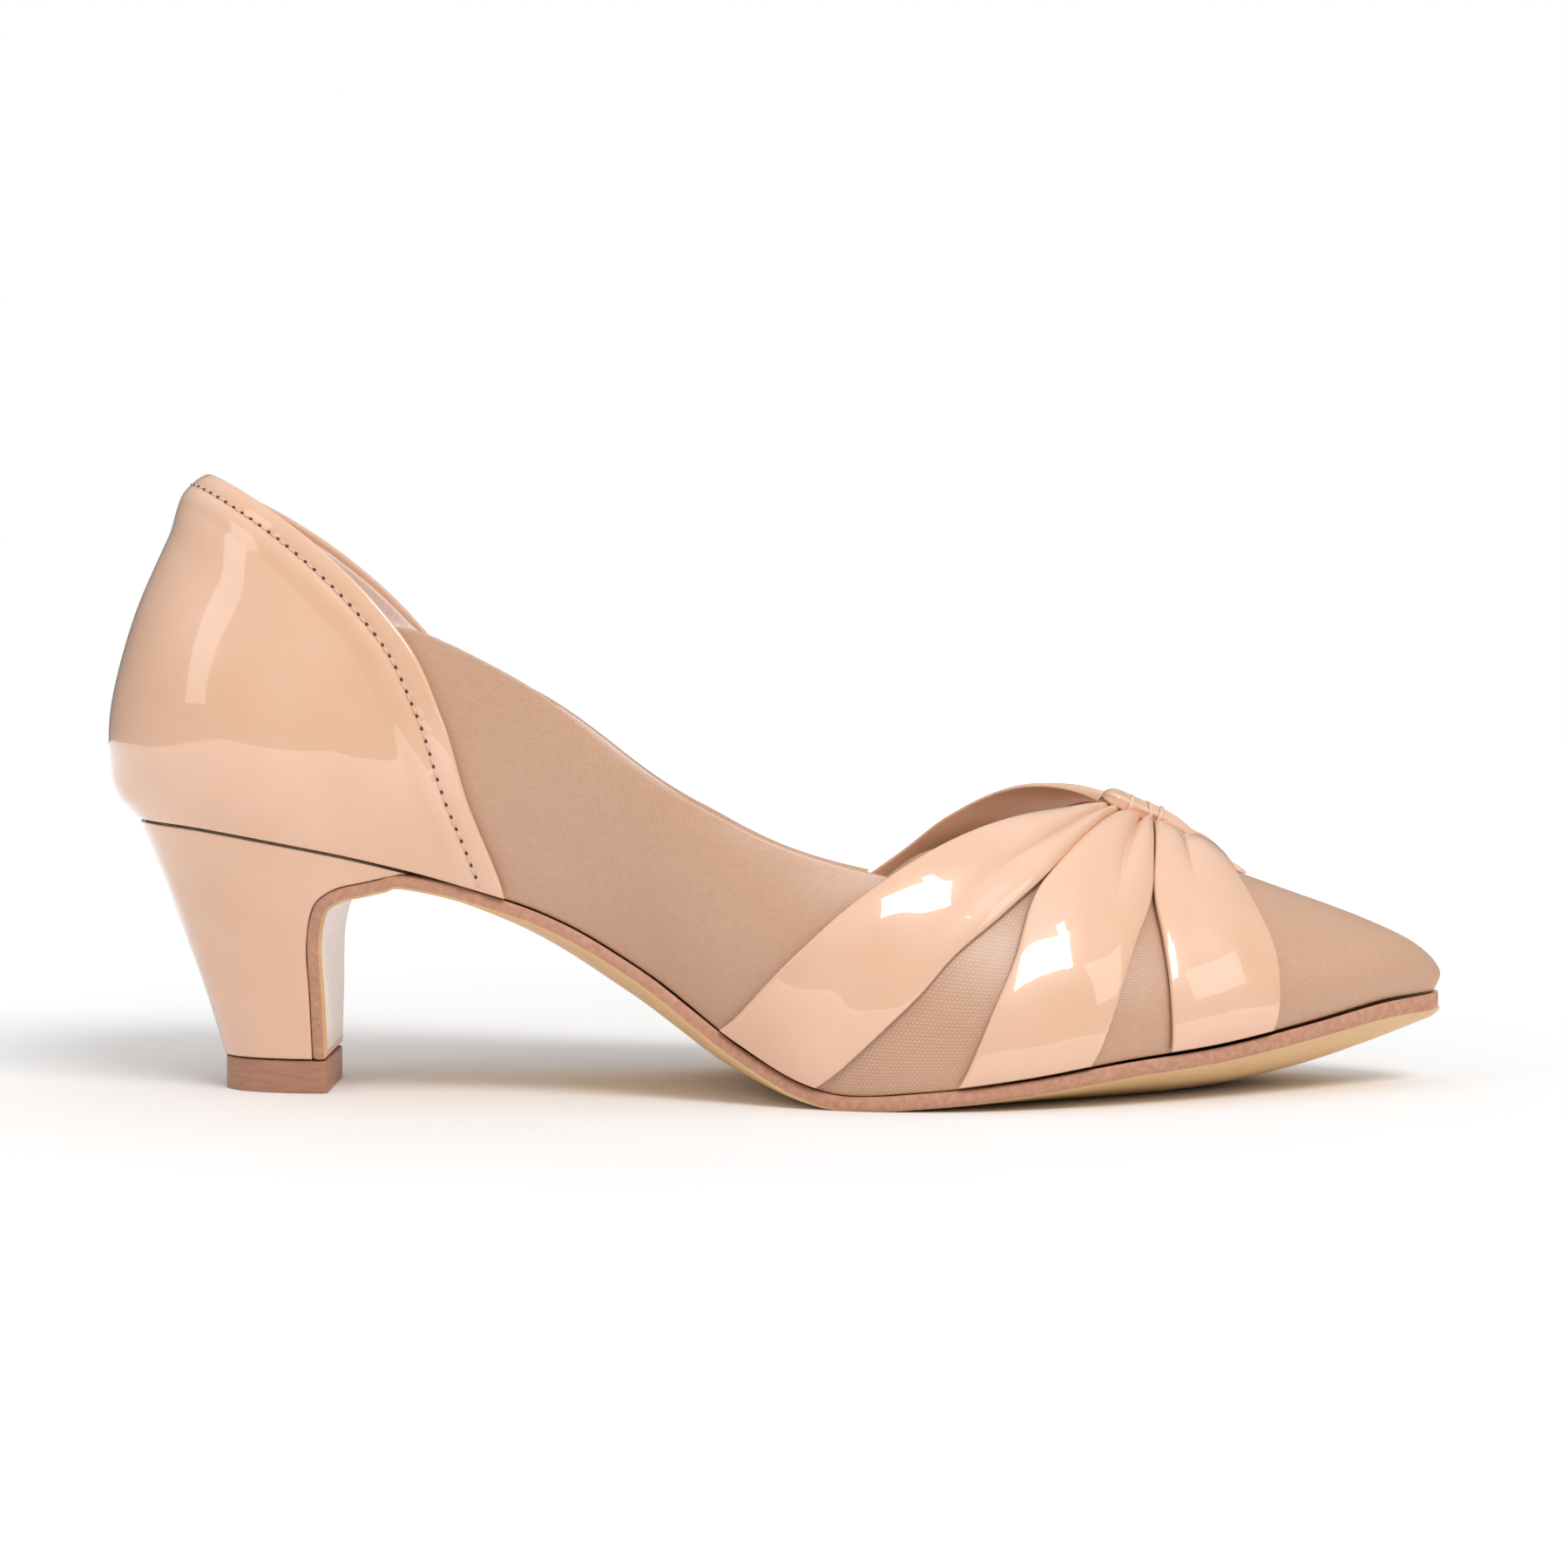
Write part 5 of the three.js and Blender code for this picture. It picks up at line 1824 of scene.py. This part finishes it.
        def rim(a: Array, height: Array, side: int) -> Array:
            """The inside of the upper at a height above the feather line.

            Args:
                a: Places along the last.
                height: Heights above the feather line.
                side: The sign of the side.

            Returns:
                Pattern points.
            """
            level = self.last.feather(a, side)[..., 2] + height

            def under(t: Array) -> Array:
                """Whether the wall is still under the level there."""
                return self.last.wall(a, t, side)[..., 2] < level

            t = halve(np.zeros_like(a), np.ones_like(a), under, 16)
            return self.last.layer(a, over(side, t), -self.sock_inset)

        def face(p: Array, q: Array, k: Array) -> Array:
            """The sheet, from the heel forward, edge to edge.

            Args:
                p: Shares from the heel forward.
                q: Shares from edge to edge.
                k: Depths, 0 at the inner face and 1 at the outer.

            Returns:
                Pattern points.
            """
            height = self.sock_height + self.sock_thick * k
            a = mix(*self.sock_ends, p**1.15)
            point = mix(rim(a, height, -1), rim(a, height, 1), q[..., None])
            soft = 0.35 * (1 - (2 * q - 1) ** 4) * ease(p, 0, 0.06)
            point[..., 2] = self.last.bed(point[..., 0], point[..., 1]) + height + soft
            return point

        self.lay(Piece("sock", "lining_leather", ("sock_lining",)), Shell(face, (120, 36), 0.38))

    def build(self) -> None:
        """Makes every piece of the bottom and the heel."""
        self.outsole_piece()
        self.heel_cover()
        self.top_lift()
        self.sock()


# ---- Studio ---------------------------------------------------------------------------------------


def stand(data: bpy.types.ID, place: tuple, aim: tuple) -> bpy.types.Object:
    """Stands a light or a camera in the studio.

    Args:
        data: The light or camera.
        place: Where it stands, in metres.
        aim: What it points at.

    Returns:
        Its object.
    """
    thing = bpy.data.objects.new(data.name, data)
    thing.location = place
    thing.rotation_euler = (Vector(aim) - Vector(place)).to_track_quat("-Z", "Y").to_euler()
    bpy.context.scene.collection.objects.link(thing)
    return thing


@dataclass(frozen=True)
class Softbox:
    """A large soft light.

    Attributes:
        name: Its name.
        place: Where it stands, in metres.
        aim: What it points at.
        size: Its width and height.
        power: Its power in watts.
    """

    name: str
    place: tuple[float, float, float]
    aim: tuple[float, float, float]
    size: tuple[float, float]
    power: float

    def hang(self) -> None:
        """Hangs the light."""
        light = bpy.data.lights.new(self.name, "AREA")
        light.shape = "RECTANGLE"
        light.size, light.size_y = self.size
        light.energy = self.power
        stand(light, self.place, self.aim)


@dataclass
class Studio:
    """A white sweep, softboxes and the camera.

    Attributes:
        camera_place: Where the camera stands.
        camera_aim: What it looks at.
        lens: Focal length on a 36 mm sensor.
        floor: Half the width of the floor.
        horizon: Brightness of the white surroundings low down.
        zenith: Their brightness overhead.
        glow: How far the backlit floor glows beyond the shoe.
        glow_reach: Where that glow begins and is full, from the middle of the floor.
        softboxes: The lights.
    """

    camera_place: tuple[float, float, float] = (0.0012, -0.700, 0.090)
    camera_aim: tuple[float, float, float] = (0.0012, 0, 0.056)
    lens: float = 87
    floor: float = 1.6
    horizon: float = 0.17
    zenith: float = 1.06
    glow: float = 0.42
    glow_reach: tuple[float, float] = (0.1, 0.7)
    softboxes: tuple[Softbox, ...] = (
        Softbox("window_softbox", (0.9, -2.1, 2.55), (0.05, 0, 0.05), (1.4, 1.1), 46),
        Softbox("strip_softbox", (1.28, -1.68, 2.48), (0.06, 0, 0.05), (0.24, 1.36), 8),
        Softbox("side_softbox", (-3.2, -2.0, 2.0), (-0.05, 0, 0.05), (1.0, 2.4), 11),
        Softbox("toe_softbox", (2.6, -1.7, 1.7), (0.08, 0, 0.04), (1.2, 1.2), 7),
    )

    def build(self) -> None:
        """Sets up the camera, the floor, the lights and the white surroundings."""
        scene = bpy.context.scene
        camera = bpy.data.cameras.new("camera")
        camera.lens = self.lens
        camera.sensor_width = 36
        camera.clip_start = 0.01
        scene.camera = stand(camera, self.camera_place, self.camera_aim)
        scene.view_settings.view_transform = "Standard"
        self._floor()
        for softbox in self.softboxes:
            softbox.hang()
        self._surroundings()
        log.info("studio: %d softboxes", len(self.softboxes))

    def _surroundings(self) -> None:
        """White all round for the camera, and for the light brighter overhead than low down."""
        world = bpy.data.worlds.new("surroundings")
        bpy.context.scene.world = world
        world.use_nodes = True
        nodes = Nodes(world.node_tree)
        direction = nodes.node("ShaderNodeTexCoord").outputs["Generated"]
        upward = nodes.node("ShaderNodeSeparateXYZ", Vector=direction).outputs[2]
        rise = nodes.node("ShaderNodeClamp", Value=upward).outputs[0]
        dome = nodes.span(nodes.sum("POWER", rise, 2), 0, 1, self.horizon, self.zenith)
        seen = nodes.node("ShaderNodeMix")
        by_camera = nodes.node("ShaderNodeLightPath").outputs["Is Camera Ray"]
        for index, value in ((0, by_camera), (2, dome), (3, 1)):
            nodes.feed(seen, index, value)
        shader = world.node_tree.nodes["Background"]
        nodes.feed(shader, "Color", (1, 1, 1, 1))
        nodes.feed(shader, "Strength", seen.outputs[0])

    def _floor(self) -> None:
        """A matte white floor."""
        bm = bmesh.new()
        bmesh.ops.create_grid(bm, x_segments=8, y_segments=8, size=self.floor)
        mesh = bpy.data.meshes.new("floor")
        bm.to_mesh(mesh)
        bm.free()
        floor = bpy.data.objects.new("floor", mesh)
        bpy.context.scene.collection.objects.link(floor)
        recipe = Recipe("floor")
        paper = recipe.ramp(recipe.noise(40, 2), (0, (0.95, 0.95, 0.95, 1)), (1, (0.97, 0.97, 0.97, 1)))
        away = recipe.node("ShaderNodeVectorMath", {"operation": "LENGTH"}, Vector=recipe.place)
        glow = recipe.span(away.outputs["Value"], *self.glow_reach, 0, self.glow)
        recipe.shade(Base_Color=paper, Roughness=0.9, Specular_IOR_Level=0.1,
                     Emission_Color=(1, 1, 1, 1), Emission_Strength=glow)
        mesh.materials.append(recipe.material)


def main() -> None:
    """Builds the studio and the shoe."""
    logging.basicConfig(level=logging.INFO, format="%(name)s: %(message)s")
    Studio().build()
    last = Last()
    wardrobe = Wardrobe(last)
    wardrobe.dress_hidden_parts()
    Bottom(last, wardrobe.finishes).build()
    Upper(last, wardrobe.finishes).build()
    Bands(last, wardrobe.finishes).build()


if __name__ == "__main__":
    main()
